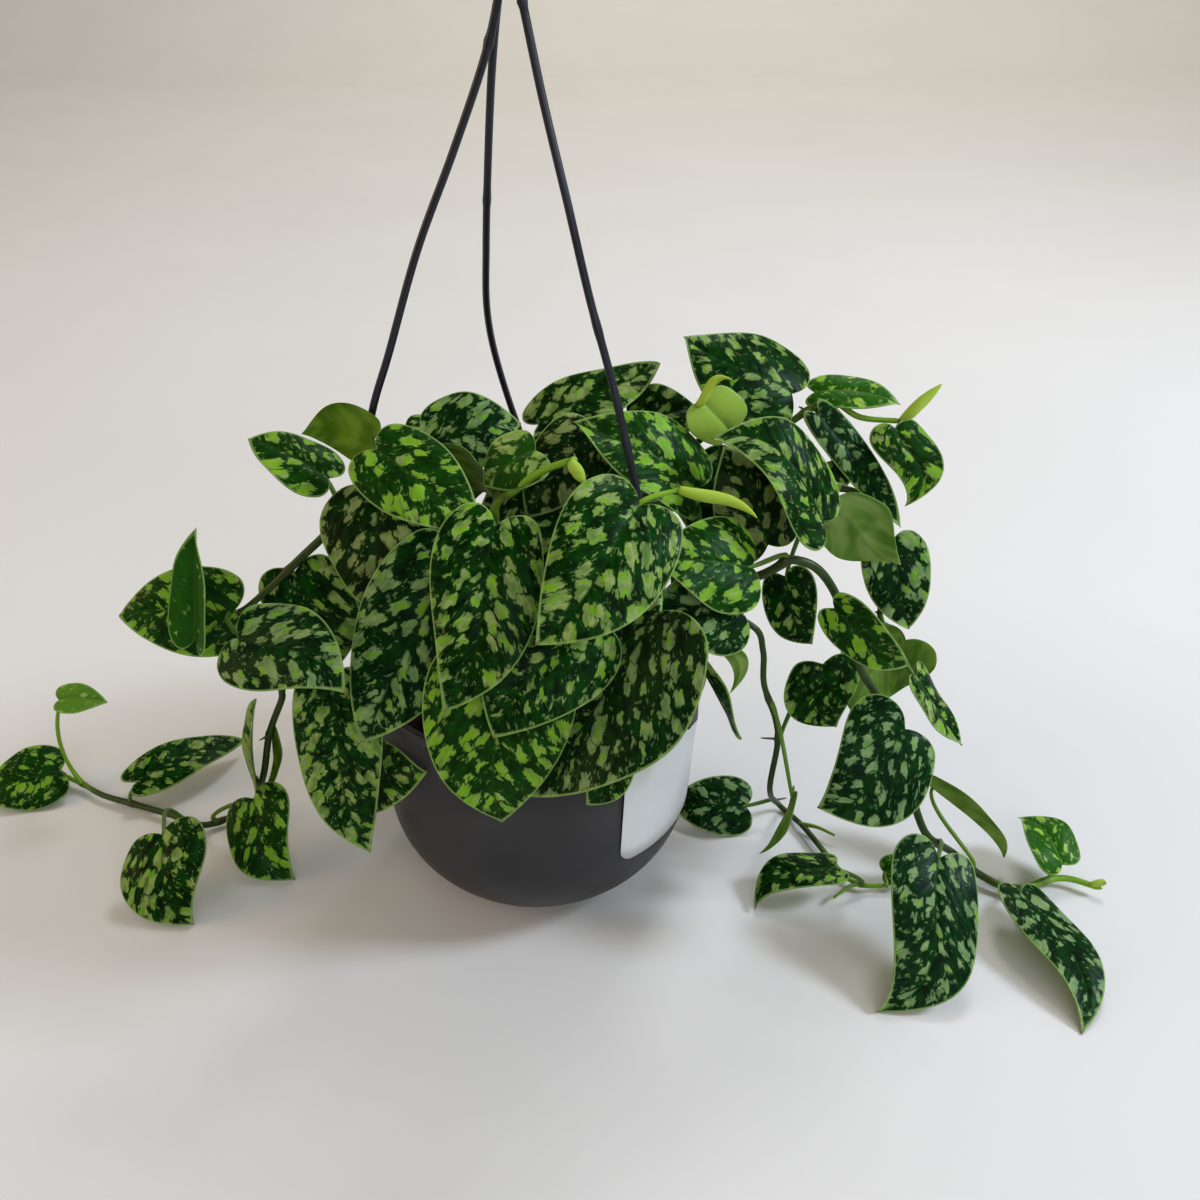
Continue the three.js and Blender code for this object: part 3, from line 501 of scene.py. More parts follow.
# The materials' numbers in a leafy stem's mesh
BLADE, STALK, ROOT = 0, 1, 2


# Shape tools
def unit(vector):
    """The vector's direction, with a length of 1."""
    return vector / np.linalg.norm(vector)


def bearing_vector(bearing, height=0):
    """The direction of a bearing, counted from +X round to +Y, and a height above the level, in degrees."""
    b, h = math.radians(bearing), math.radians(height)
    return np.array([math.cos(b) * math.cos(h), math.sin(b) * math.cos(h), math.sin(h)])


def spline(points, place, straight_ends=True):
    """The point of a smooth line through the points, at a place counted in points."""
    points = [np.array(p, float) for p in points]
    at = min(int(place), len(points) - 2)
    w = place - at
    p1, p2 = points[at], points[at + 1]
    before = 2 * p1 - p2 if straight_ends else p1
    after = 2 * p2 - p1 if straight_ends else p2
    p0 = points[at - 1] if at > 0 else before
    p3 = points[at + 2] if at + 2 < len(points) else after
    v0, v1 = (p2 - p0) / 2, (p3 - p1) / 2
    return (2 * p1 - 2 * p2 + v0 + v1) * w**3 + (3 * p2 - 3 * p1 - 2 * v0 - v1) * w**2 + v0 * w + p1


def heading_at(path, place, step):
    """The direction of a path at a place counted in points, taken over a short step to both sides."""
    return unit(spline(path, min(place + step, len(path) - 1)) - spline(path, max(place - step, 0)))


def bezier(points, t):
    """The point of a curve from the first point to the last that the two between them pull at."""
    a, b, c, d = points
    return a * (1 - t) ** 3 + 3 * b * t * (1 - t) ** 2 + 3 * c * t**2 * (1 - t) + d * t**3


def lengths_along(line):
    """How far along the line each of its points is."""
    return np.concatenate([[0], np.cumsum(np.linalg.norm(np.diff(line, axis=0), axis=1))])


def node_swell(far, nodes, length):
    """How near a node a place on a stem is: 1 at the node, fading over the length."""
    return max([math.exp(-(((far - node) / length) ** 2)) for node in nodes], default=0)


class Shape:
    """Collects faces with a material number each, and the values that the materials read at each point."""

    def __init__(self):
        self.points = []
        self.faces = []
        self.finishes = []
        self.grain = []
        self.place = []
        self.look = []

    def point(self, position, grain=(0, 0, 0), place=(0, 0, 0), look=(0, 0, 0, 0)):
        self.points.append(position)
        self.grain.append(grain)
        self.place.append(place)
        self.look.append(look)
        return len(self.points) - 1

    def face(self, corners, finish=0):
        """Adds a face; corners that are one point are joined, and what is left of a flat one is dropped."""
        corners = list(dict.fromkeys(corners))
        if len(corners) > 2:
            self.faces.append(corners)
            self.finishes.append(finish)

    def rings(self, rings, finish=0, closed=True):
        """Joins rings of points into a skin."""
        for ring, following in zip(rings, rings[1:]):
            count = len(ring)
            for i in range(count if closed else count - 1):
                j = (i + 1) % count
                self.face([ring[i], ring[j], following[j], following[i]], finish)

    def closed_rings(self, rings, finish=0):
        """Joins rings of points into a skin and closes both of its ends."""
        self.rings(rings, finish)
        self.face(rings[0][::-1], finish)
        self.face(rings[-1], finish)

    def piece(self, name, nodes, materials):
        """Makes the mesh, in metres and inside the CAD model's box, hangs it on the root body and hides the
        CAD parts that it stands for.
        """
        low, high = [np.array(corner) for corner in CAD_BOUNDS]
        positions = np.clip(np.array(self.points) * MM, low, high)
        mesh = bpy.data.meshes.new(name)
        mesh.from_pydata(positions.tolist(), [], self.faces)
        for label, kind, field, values in (
            ("grain", "FLOAT_VECTOR", "vector", self.grain),
            ("place", "FLOAT_VECTOR", "vector", self.place),
            ("look", "FLOAT_COLOR", "color", self.look),
        ):
            attribute = mesh.attributes.new(label, kind, "POINT")
            attribute.data.foreach_set(field, np.array(values, float).ravel())
        for material in materials:
            mesh.materials.append(material)
        mesh.polygons.foreach_set("material_index", self.finishes)
        mesh.polygons.foreach_set("use_smooth", [True] * len(self.faces))
        mesh.update()
        made = bpy.data.objects.new(name, mesh)
        bpy.context.scene.collection.objects.link(made)
        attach(made, "root")
        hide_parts(*nodes)


def tube(shape, line, radii, sides, finish, looks=OLD_STEM, nodes=()):
    """A round tube along a line, closed at both ends. Its grain is how far along and round, and its place
    adds how near a stem's node. Looks is one look for it all, or a list with one for each point."""
    line = np.array(line)
    far = lengths_along(line)
    tangents = np.gradient(line, axis=0)
    side = unit(np.cross(tangents[0], [0.31, 0.52, 0.79]))
    rings = []
    for i, centre in enumerate(line):
        ahead = unit(tangents[i])
        side = unit(side - ahead * side.dot(ahead))
        other = np.cross(ahead, side)
        near = node_swell(far[i], nodes, NODE_TONE_LENGTH)
        look = looks[i] if isinstance(looks, list) else looks
        ring = []
        for k in range(sides):
            turn = 2 * math.pi * k / sides
            away = side * math.cos(turn) + other * math.sin(turn)
            grain = (far[i], k / sides, 0)
            ring.append(shape.point(centre + away * radii[i], grain, (far[i], k / sides, near), look))
        rings.append(ring)
    shape.closed_rings(rings, finish)


# Leaves
def leaf_frame(base, tip, face):
    """A leaf's base, its length, and its directions along, up from its face, and across."""
    start = np.array(base, float)
    along = np.array(tip, float) - start
    length = np.linalg.norm(along)
    along /= length
    up = bearing_vector(*face)
    up = unit(up - along * up.dot(along))
    return start, length, along, up, np.cross(up, along)


def rib_share(row):
    """How far along the midrib a row of points starts, as a share of the leaf's length."""
    return row * (RIB_LEAD + (1 - RIB_LEAD) * row**RIB_GROWTH)


@functools.cache
def edge_point(row):
    """The point of the outline that a row of points ends at."""
    return spline(OUTLINE, row * (len(OUTLINE) - 1), straight_ends=False)


def bulge(x):
    """A bend along a leaf that is nothing at its base and tip, and 1 at its full, nearer the tip."""
    return SWEEP_FULL * x * x * (1 - x)


def blade_point(leaf, axes, order, row, out):
    """The middle of the blade's thickness at a row along the leaf and a share of the way out, less than
    nothing on one side. The blade is folded at the midrib, cupped, arched, swept aside and waved."""
    width, arch, fold, sweep = leaf[4:8]
    start, length, along, up, across = axes
    edge = edge_point(row)
    reach = abs(out)
    side = 1 if out > 0 else -1
    x = rib_share(row) + (edge[0] - rib_share(row)) * reach
    flat = edge[1] * reach * width / 2
    tilt = math.radians(fold)
    wave = BLADE_WAVE * width * reach**2 * math.sin(WAVE_TURNS * x + WAVE_SHIFT * order + side)
    cup = BLADE_CUP * flat**2 / (width / 2)
    rise = flat * math.sin(tilt) - cup + arch * ARCH_FULL * x * (1 - x) + wave
    aside = side * flat * math.cos(tilt) + sweep * bulge(x)
    return start + along * x * length + across * aside + up * rise


def vein_place(along, from_rib, length, width):
    """Where the side vein through a point leaves the midrib: veins lean to the tip, more near the margin."""
    lean = VEIN_LEAN * (1 + max(0, min(1, along / (VEIN_FULL * length))))
    return along - lean * from_rib - VEIN_CURVE * from_rib**2 / (width / 2)


def blade(shape, leaf, order):
    """A thin waved sheet. Its grain is the place across the side veins, the distance from the midrib, less
    than nothing on one side, and the distance back from the tip, with a step added for each leaf so that no
    two match. Its place is the distance in from the margin, the distance from the midrib, and 1 on the upper
    side."""
    width, look = leaf[4], LOOKS[leaf[8]]
    axes = leaf_frame(*leaf[1:4])
    length, up = axes[1], axes[3]
    rows = [i / BLADE_ROWS for i in range(BLADE_ROWS + 1)]
    edges = np.array([edge_point(row) * (length, width / 2) for row in rows])
    outs = [-reach for reach in REACHES[::-1]] + [0] + REACHES
    grids = {}
    for level in (1, -1):
        grids[level] = []
        for i, row in enumerate(rows):
            pointed = i in (0, BLADE_ROWS)
            ring = []
            for out in outs:
                if pointed and ring:
                    ring.append(ring[0])
                    continue
                reach = abs(out)
                from_rib = reach * edges[i][1]
                thick = RIM_THICK if reach == 1 or pointed else BLADE_THICK
                groove = RIB_DEPTH * math.exp(-((from_rib / RIB_WIDTH) ** 2))
                position = blade_point(leaf, axes, order, row, 0 if pointed else out)
                position += up * (level * thick / 2 - groove)
                along = (1 - reach) * rib_share(row) * length + reach * edges[i][0]
                veins = vein_place(along, from_rib, length, width)
                sided = from_rib if out > 0 else -from_rib
                back = length - along + LEAF_STEP * order
                place = ((1 - reach) * edges[i][1], from_rib, max(level, 0))
                ring.append(shape.point(position, (veins, sided, back), place, look))
            grids[level].append(ring if level > 0 else ring[::-1])
        shape.rings(grids[level][::-1], BLADE, closed=False)
    for first, second in ((grids[1], grids[-1]), (grids[-1], grids[1])):
        shape.rings([[ring[-1] for ring in first], [ring[0] for ring in second]], BLADE, closed=False)


def rolled_leaf(shape, leaf, order):
    """A new leaf that is still rolled up: a spindle with the seam of its outer turn winding along it."""
    start, length, along, up, across = leaf_frame(*leaf[1:4])
    width, sweep, look = leaf[4], leaf[7], LOOKS[leaf[8]]
    rings = []
    for i in range(ROLL_STEPS + 1):
        x = i / ROLL_STEPS
        centre = start + along * x * length + across * sweep * bulge(x)
        fullness = math.sin(math.pi * min(1, ROLL_START + (1 - ROLL_START) * x)) ** ROLL_FULLNESS
        radius = width * ROLL_WIDTH * fullness + ROLL_TIP
        ring = []
        for k in range(ROLL_SIDES):
            turn = 2 * math.pi * k / ROLL_SIDES
            step = 1 + SEAM_STEP * ((k / ROLL_SIDES + SEAM_TURN * x) % 1)
            away = across * math.cos(turn) + up * math.sin(turn)
            grain = (VEIN_STEP / 2, turn * radius, LEAF_STEP * order + x * length + ROLL_FROM_TIP)
            place = (ROLL_FROM_MARGIN, ROLL_FROM_MARGIN, 1)
            ring.append(shape.point(centre + away * radius * step, grain, place, look))
        rings.append(ring)
    shape.closed_rings(rings, BLADE)


def petiole_radius(t):
    """Thick where the sheath clasps the stem, slim in the middle, and thinner into the leaf."""
    if t < SHEATH_SHARE:
        return SHEATH_RADIUS - (SHEATH_RADIUS - PETIOLE_RADIUS) * t / SHEATH_SHARE
    return PETIOLE_RADIUS + PETIOLE_BELLY * math.sin(math.pi * t) - PETIOLE_TAPER * max(0, t - TAPER_FROM)


def petiole(shape, path, leaf):
    """A leaf's stalk: it leaves the stem along it, lifts, and arrives under the blade."""
    place, base, tip, face = leaf[:4]
    axes = leaf_frame(base, tip, face)
    start, _, along, up, _ = axes
    origin = spline(path, place)
    direction = heading_at(path, place, PETIOLE_NEARBY)
    span = np.linalg.norm(start - origin)
    leaving = origin + direction * span * PETIOLE_REACH + np.array([0, 0, span * PETIOLE_LIFT])
    heading = unit(unit(start - origin) * PETIOLE_STRAIGHT + along * PETIOLE_ALONG + up * PETIOLE_UP)
    arriving = start - heading * span * PETIOLE_REACH
    end = start
    if leaf[8] != "rolled":
        end = blade_point(leaf, axes, 0, PETIOLE_SEAT, 0) - up * PETIOLE_SINK
    shares = [i / PETIOLE_STEPS for i in range(PETIOLE_STEPS + 1)]
    line = [bezier((origin, leaving, arriving, end), t) for t in shares]
    # The petiole takes its leaf's bronze cast, which is partly an aged tone and partly painted shade
    _, _, bronze, young = LOOKS[leaf[8]]
    tube(shape, line, [petiole_radius(t) for t in shares], PETIOLE_SIDES, STALK, (1, young, bronze, 0))


def aerial_root(shape, origin, direction, length):
    """A short dry root from a node, a little bent."""
    bend = unit(np.array([random.uniform(-1, 1), random.uniform(-1, 1), random.uniform(-1, 0.2)]))
    curl = bend * length * ROOT_CURL
    line = [origin + direction * length * t + curl * t * t for t in np.linspace(0, 1, len(ROOT_RADII))]
    tube(shape, line, ROOT_RADII, ROOT_SIDES, ROOT)


def stem_tube(shape, name, thick, path, leaves):
    """The stem itself: swollen at its nodes, thinner to a round end, fresh green for its young length, and
    with its foot in the soil."""
    places = np.linspace(0, len(path) - 1, (len(path) - 1) * STEM_STEPS + 1)
    line = [spline(path, place) for place in places]
    far = lengths_along(np.array(line))
    nodes = [float(np.interp(leaf[0], places, far)) for leaf in leaves]
    fresh_length = YOUNG_ENDS.get(name)
    radii = []
    looks = []
    for at in far:
        to_end = far[-1] - at
        thinned = 1 + NODE_SWELL * node_swell(at, nodes, NODE_LENGTH)
        thinned -= YOUNG_THIN * max(0, 1 - to_end / YOUNG_LENGTH)
        radii.append(thick / 2 * thinned * min(1, math.sqrt(to_end / END_ROUND + END_LEAST)))
        fresh = YOUNG_FADE * (1 - to_end / fresh_length) if fresh_length else 0
        looks.append((0, max(0, min(1, fresh)), 0, 0))
    foot = np.array(path[0], float)
    buried = [foot - (0, 0, BURIED), foot - (0, 0, BURIED / 2)]
    radii = [thick / 2] * len(buried) + radii
    looks = looks[:len(buried)] + looks
    tube(shape, buried + line, radii, STEM_SIDES, STALK, looks, [node + BURIED for node in nodes])


def stem_piece(name, thick, path, leaves, order):
    """A leafy stem: the stem, its leaves and petioles, dry roots at its nodes, side shoots and a last bud."""
    shape = Shape()
    stem_tube(shape, name, thick, path, leaves)
    for i, leaf in enumerate(leaves):
        grow = rolled_leaf if leaf[8] == "rolled" else blade
        grow(shape, leaf, order + i)
        petiole(shape, path, leaf)
        origin = spline(path, leaf[0])
        ahead = heading_at(path, leaf[0], ROOT_NEARBY)
        away = origin - np.array(leaf[1], float)
        away = away - ahead * away.dot(ahead)
        if origin[2] > ROOT_CLEAR and np.linalg.norm(away) > ROOT_LEAST_OFFSET:
            aerial_root(shape, origin, unit(away), random.uniform(ROOT_SHORTEST, ROOT_LONGEST))
    for points in SIDE_SHOOTS.get(name, []):
        twig = [spline(points, place) for place in np.linspace(0, len(points) - 1, SHOOT_STEPS)]
        tube(shape, twig, np.linspace(*SHOOT_RADII, SHOOT_STEPS), SHOOT_SIDES, STALK, SHOOT_LOOK)
    if name in END_BUDS:
        rolled_leaf(shape, END_BUDS[name], order + len(leaves))
    shape.piece(name + "_look", [name], [LEAF, STALK_SKIN, ROOT_SKIN])


def hanging_stem(bearing, hang, reach, leaf_count, first):
    """The path and the leaves of a stem that rises from the soil, bends over the rim behind the crown and
    hangs, with its leaves to the left and the right by turns."""
    outward, sideways = bearing_vector(bearing), bearing_vector(bearing + 90)

    def at(radius, height, aside=0):
        flat = radius * outward + aside * sideways
        return (flat[0], flat[1], height)

    low = reach + BACK_STEM_CLEAR
    path = [
        at(BACK_STEM_ROOT, STEM_FOOT), at(BACK_STEM_ROOT + BACK_STEM_LEAN, BACK_STEM_RISE),
        at(hang - BACK_STEM_SHOULDER, BACK_STEM_TOP), at(hang - BACK_STEM_LEAN, BACK_STEM_BEND),
        at(hang, (BACK_STEM_BEND + low) / 2), at(hang - BACK_STEM_TUCK, low),
    ]
    leaves = []
    for i in range(leaf_count):
        share = BACK_LEAF_FIRST + (1 - BACK_LEAF_FIRST) * i / (leaf_count - 1)
        place = share * (len(path) - 1)
        node = spline(path, place)
        radius = math.hypot(node[0], node[1])
        side = first if i % 2 == 0 else -first
        base, tip, form = BACK_LEAF_BASE, BACK_LEAF_TIP, BACK_LEAF
        start = at(radius + base["out"], node[2] + base["up"], side * base["aside"])
        end = at(
            radius + tip["out"] + tip["flare"] * (1 - share),
            node[2] - tip["down"] + tip["lift"] * (1 - share), side * tip["aside"],
        )
        face = [bearing + side * form["turn"], form["height"]]
        bends = [form["arch"], form["fold"], side * form["sweep"]]
        leaves.append([place, start, end, face, form["width"], *bends, BACK_LOOKS[i % len(BACK_LOOKS)]])
    return path, leaves


# Pot, soil, hanger and sticker
def wall_radius(height):
    """The outer radius of the pot's leaning wall at a height."""
    return POT_TOP_RADIUS - (POT_HEIGHT - height) * math.tan(WALL_LEAN)


BOWL_CENTRE = wall_radius(BOWL_RADIUS) - BOWL_RADIUS / math.cos(WALL_LEAN)


def bowl_arc(radius, from_angle, steps):
    """The bowl's round part, in radius and height, from an angle below the level up to the wall."""
    turns = np.linspace(from_angle, WALL_LEAN, steps + 1)
    return [(BOWL_CENTRE + radius * math.cos(a), BOWL_RADIUS - radius * math.sin(a)) for a in turns]


def round_corner(centre, radius, from_degrees, to_degrees, steps=5):
    """An arc that rounds a corner of a profile."""
    turns = [math.radians(a) for a in np.linspace(from_degrees, to_degrees, steps + 1)]
    return [(centre[0] + radius * math.cos(a), centre[1] + radius * math.sin(a)) for a in turns]


def lathe(shape, profile, sides, centre=(0, 0), wobble=None):
    """Turns a profile of radius and height; a radius of 0 makes one point."""
    rings = []
    for radius, height in profile:
        ring = []
        for k in range(sides):
            if radius == 0 and ring:
                ring.append(ring[0])
                continue
            turn = 2 * math.pi * k / sides
            x, y = radius * math.cos(turn), radius * math.sin(turn)
            lift = wobble(x, y, radius) if wobble else 0
            position = (centre[0] + x, centre[1] + y, height + lift)
            ring.append(shape.point(position, (turn * radius, height, 0), (radius, height, 0)))
        rings.append(ring)
    shape.rings(rings)


def pot_piece():
    """The moulded shell, from under its foot up the outside, round the bead and down the inside."""
    foot_angle = math.acos((FOOT_RADIUS - BOWL_CENTRE) / BOWL_RADIUS)
    foot_inside = FOOT_RADIUS - FOOT_RING
    bead_foot = POT_HEIGHT - BEAD_HEIGHT
    top_out = POT_TOP_RADIUS + BEAD_OUT
    top_in = POT_TOP_RADIUS - POT_WALL
    middle = POT_HEIGHT / 2
    under, over, inner = BEAD_UNDER_ROUND, BEAD_ROUND, RIM_INSIDE_ROUND
    profile = [(0, FOOT_LIFT), (foot_inside, FOOT_LIFT)]
    profile += [(foot_inside + FOOT_BEVEL, 0), (FOOT_RADIUS - FOOT_EDGE, 0)]
    profile += bowl_arc(BOWL_RADIUS, foot_angle, BOWL_STEPS)
    profile += [(wall_radius(middle), middle)]
    profile += [(wall_radius(bead_foot) - BEAD_CREASE, bead_foot - 2 * BEAD_CREASE)]
    profile += round_corner((top_out - under, bead_foot + under), under, -80, 0)
    profile += round_corner((top_out - over, POT_HEIGHT - over), over, 0, 90)
    profile += round_corner((top_in + inner, POT_HEIGHT - inner), inner, 90, 180)
    profile += bowl_arc(BOWL_RADIUS - POT_WALL, math.pi / 2, INSIDE_STEPS)[::-1]
    profile += [(0, POT_WALL)]
    shape = Shape()
    lathe(shape, profile, POT_SIDES)
    shape.piece("pot_look", ["pot"], [POT_PLASTIC])


def crumb(shape, centre, size):
    """A small rough lump."""
    rings = []
    stretch = np.array([random.uniform(0.7, 1.5), random.uniform(0.7, 1.5), random.uniform(0.5, 0.9)])
    for level in CRUMB_LEVELS:
        ring = []
        for k in range(CRUMB_SIDES):
            turn = 2 * math.pi * k / CRUMB_SIDES
            flat = math.sqrt(1 - level * level) * random.uniform(0.75, 1.2)
            offset = np.array([flat * math.cos(turn), flat * math.sin(turn), level])
            ring.append(shape.point(centre + offset * stretch * size))
        rings.append(ring)
    shape.closed_rings(rings)


def soil_piece():
    """The block of potting mix, with a lumpy top and loose crumbs on it."""
    clear = POT_WALL + SOIL_CLEAR
    edge = wall_radius(SOIL_TOP) - clear / math.cos(WALL_LEAN)

    def lumps(x, y, radius):
        if radius > edge - 1:
            return 0
        coarse = noise.noise(Vector((x / COARSE_LUMP, y / COARSE_LUMP, 3)))
        fine = noise.noise(Vector((x / FINE_LUMP, y / FINE_LUMP, 8)))
        return COARSE_RISE * coarse + FINE_RISE * fine

    side = [(0, clear)] + bowl_arc(BOWL_RADIUS - clear, math.pi / 2, SOIL_SIDE_STEPS)
    side += [(edge, SOIL_TOP - SOIL_SIDE_DROP)]
    rim = SOIL_TOP - SOIL_EDGE_DROP
    top = [(edge * share, rim + SOIL_CROWN * (1 - share**2)) for share in np.linspace(1, 0, SOIL_RINGS)]
    shape = Shape()
    lathe(shape, side, SOIL_SIDES)
    lathe(shape, top, SOIL_SIDES, wobble=lumps)
    for _ in range(CRUMB_COUNT):
        turn, far = random.uniform(0, 2 * math.pi), (edge - CRUMB_EDGE) * math.sqrt(random.random())
        size = random.choice(CRUMB_SIZES)
        height = SOIL_TOP + CRUMB_CROWN * (1 - (far / edge) ** 2) + CRUMB_SEAT * size
        crumb(shape, np.array([far * math.cos(turn), far * math.sin(turn), height]), size)
    shape.piece("soil_look", ["soil"], [POTTING_MIX])


def clip(shape, bearing):
    """The hook-shaped clip that holds a rod's foot on the rim, bent from one strip with rounded edges."""
    outer = POT_TOP_RADIUS + BEAD_OUT + CLIP_GAP
    inner = POT_TOP_RADIUS - POT_WALL - CLIP_INSIDE_GAP
    low, inside_low = POT_HEIGHT - CLIP_DROP, POT_HEIGHT - CLIP_INSIDE_DROP
    under = POT_HEIGHT + CLIP_GAP
    back, front, top = inner - CLIP_THICK, outer + CLIP_THICK, under + CLIP_THICK
    outline = [(outer, low), (outer, under), (inner, under), (inner, inside_low), (back, inside_low)]
    outline += round_corner((back + CLIP_ROUND, top - CLIP_ROUND), CLIP_ROUND, 180, 90, 4)
    outline += round_corner((front - CLIP_ROUND, top - CLIP_ROUND), CLIP_ROUND, 90, 0, 4)
    outline += [(front, low)]
    out, across, up = bearing_vector(bearing), bearing_vector(bearing + 90), np.array([0, 0, 1.0])
    middle = np.mean(outline, axis=0)
    side = CLIP_WIDTH / 2
    flat = side - CLIP_EDGE
    rings = []
    for aside, shrink in ((-side, CLIP_EDGE), (-flat, 0), (flat, 0), (side, CLIP_EDGE)):
        ring = []
        for radius, height in outline:
            inward = unit(middle - (radius, height)) * shrink
            ring.append(shape.point(out * (radius + inward[0]) + across * aside + up * (height + inward[1])))
        rings.append(ring)
    shape.closed_rings(rings)


def rod(shape, bearing, route):
    """A rod from the hub to its clip, with the small bulges that moulding left on it."""
    foot = bearing_vector(bearing) * POT_TOP_RADIUS
    path = [*route, (foot[0], foot[1], POT_HEIGHT + ROD_SEAT)]
    places = np.linspace(0, len(path) - 1, ROD_STEPS)
    line = [spline(path, place) for place in places]
    radii = [ROD_RADIUS + NUB_RISE * node_swell(place, ROD_NUBS[bearing], NUB_LENGTH) for place in places]
    tube(shape, line, radii, ROD_SIDES, 0)


def hanger_piece():
    """The hanger, moulded in one: three rods with their clips, the hub above them, and the hook on it."""
    shape = Shape()
    for bearing, route in RODS:
        rod(shape, bearing, route)
        clip(shape, bearing)
    x, y, z = HUB_PLACE
    low, high = z - HUB_HEIGHT / 2, z + HUB_HEIGHT / 2
    foot, waist, shoulder, neck = HUB_RADII
    hub = [(0, low), (foot, low), (waist, low + HUB_EDGE)]
    hub += [(shoulder, high - HUB_EDGE), (neck, high), (0, high)]
    lathe(shape, hub, HUB_SIDES, (x, y))
    centre = high + HOOK_STEM + HOOK_RADIUS
    turns = [math.radians(a) for a in range(HOOK_FROM, HOOK_TO + 1, HOOK_TURN_STEP)]
    hook = [(x, y, z), (x, y, centre - HOOK_RADIUS)]
    hook += [(x + HOOK_RADIUS * math.cos(a), y, centre + HOOK_RADIUS * math.sin(a)) for a in turns]
    line = [spline(hook, place) for place in np.linspace(0, len(hook) - 1, HOOK_STEPS)]
    tube(shape, line, [HOOK_WIRE] * (HOOK_STEPS - 1) + [HOOK_TIP], HOOK_SIDES, 0)
    shape.piece("hanger_look", ["hanger"], [HANGER_PLASTIC])


def sticker_piece():
    """A thin label bent round the wall, with rounded lower corners."""
    arc = math.radians(STICKER_TO - STICKER_FROM) * wall_radius(STICKER_LOW)
    shape = Shape()
    faces = []
    for lift in (STICKER_BACK, STICKER_FACE):
        columns = []
        for i in range(STICKER_COLUMNS + 1):
            share = (1 - math.cos(math.pi * i / STICKER_COLUMNS)) / 2
            inward = max(0, STICKER_CORNER - min(share, 1 - share) * arc)
            foot = STICKER_LOW + STICKER_CORNER - math.sqrt(STICKER_CORNER**2 - inward**2)
            around = bearing_vector(STICKER_FROM + (STICKER_TO - STICKER_FROM) * share)
            column = []
            for k in range(STICKER_ROWS + 1):
                height = foot + (STICKER_HIGH - foot) * k / STICKER_ROWS
                position = around * (wall_radius(height) + lift)
                column.append(shape.point((position[0], position[1], height), (share * arc, height, 0)))
            columns.append(column)
        faces.append(columns)
    inside, outside = faces
    shape.rings(outside, closed=False)
    shape.rings([column[::-1] for column in inside], closed=False)
    for end in (0, -1):
        rim = [[column[end] for column in inside], [column[end] for column in outside]]
        shape.rings(rim if end else rim[::-1], closed=False)
        sides = [inside[end], outside[end]]
        shape.rings(sides[::-1] if end else sides, closed=False)
    shape.piece("sticker_look", ["sticker"], [STICKER_PAPER])


# Materials
SOFT = {"interpolation_type": "SMOOTHSTEP"}
COLOURS = {"data_type": "RGBA", "out": 2}


def colour(code):
    """A linear colour from an sRGB code."""
    shares = [int(code[i:i + 2], 16) / 255 for i in (1, 3, 5)]
    return tuple(s / 12.92 if s <= 0.04045 else ((s + 0.055) / 1.055) ** 2.4 for s in shares) + (1,)


def connect(tree, node, inputs):
    """Sets a node's inputs, by name or in order, each to a value, an sRGB code or another node's output."""
    for socket, value in inputs.items() if isinstance(inputs, dict) else enumerate(inputs):
        if isinstance(value, bpy.types.NodeSocket):
            tree.links.new(value, node.inputs[socket])
        else:
            node.inputs[socket].default_value = colour(value) if isinstance(value, str) else value


def add(tree, kind, inputs=(), out=0, **settings):
    """Adds a node with its settings and links, and gives one of its outputs."""
    node = tree.nodes.new("ShaderNode" + kind)
    for name, value in settings.items():
        setattr(node, name, value)
    connect(tree, node, inputs)
    return node.outputs[out]


def grains_per_metre(size):
    """The scale that gives a pattern's features a size in millimetres, in an object's own coordinates."""
    return 1 / (size * MM)


def new_material(name):
    """An empty material, its nodes and its main shader."""
    material = bpy.data.materials.new(name)
    material.use_nodes = True
    tree = material.node_tree
    return material, tree, tree.nodes["Principled BSDF"]


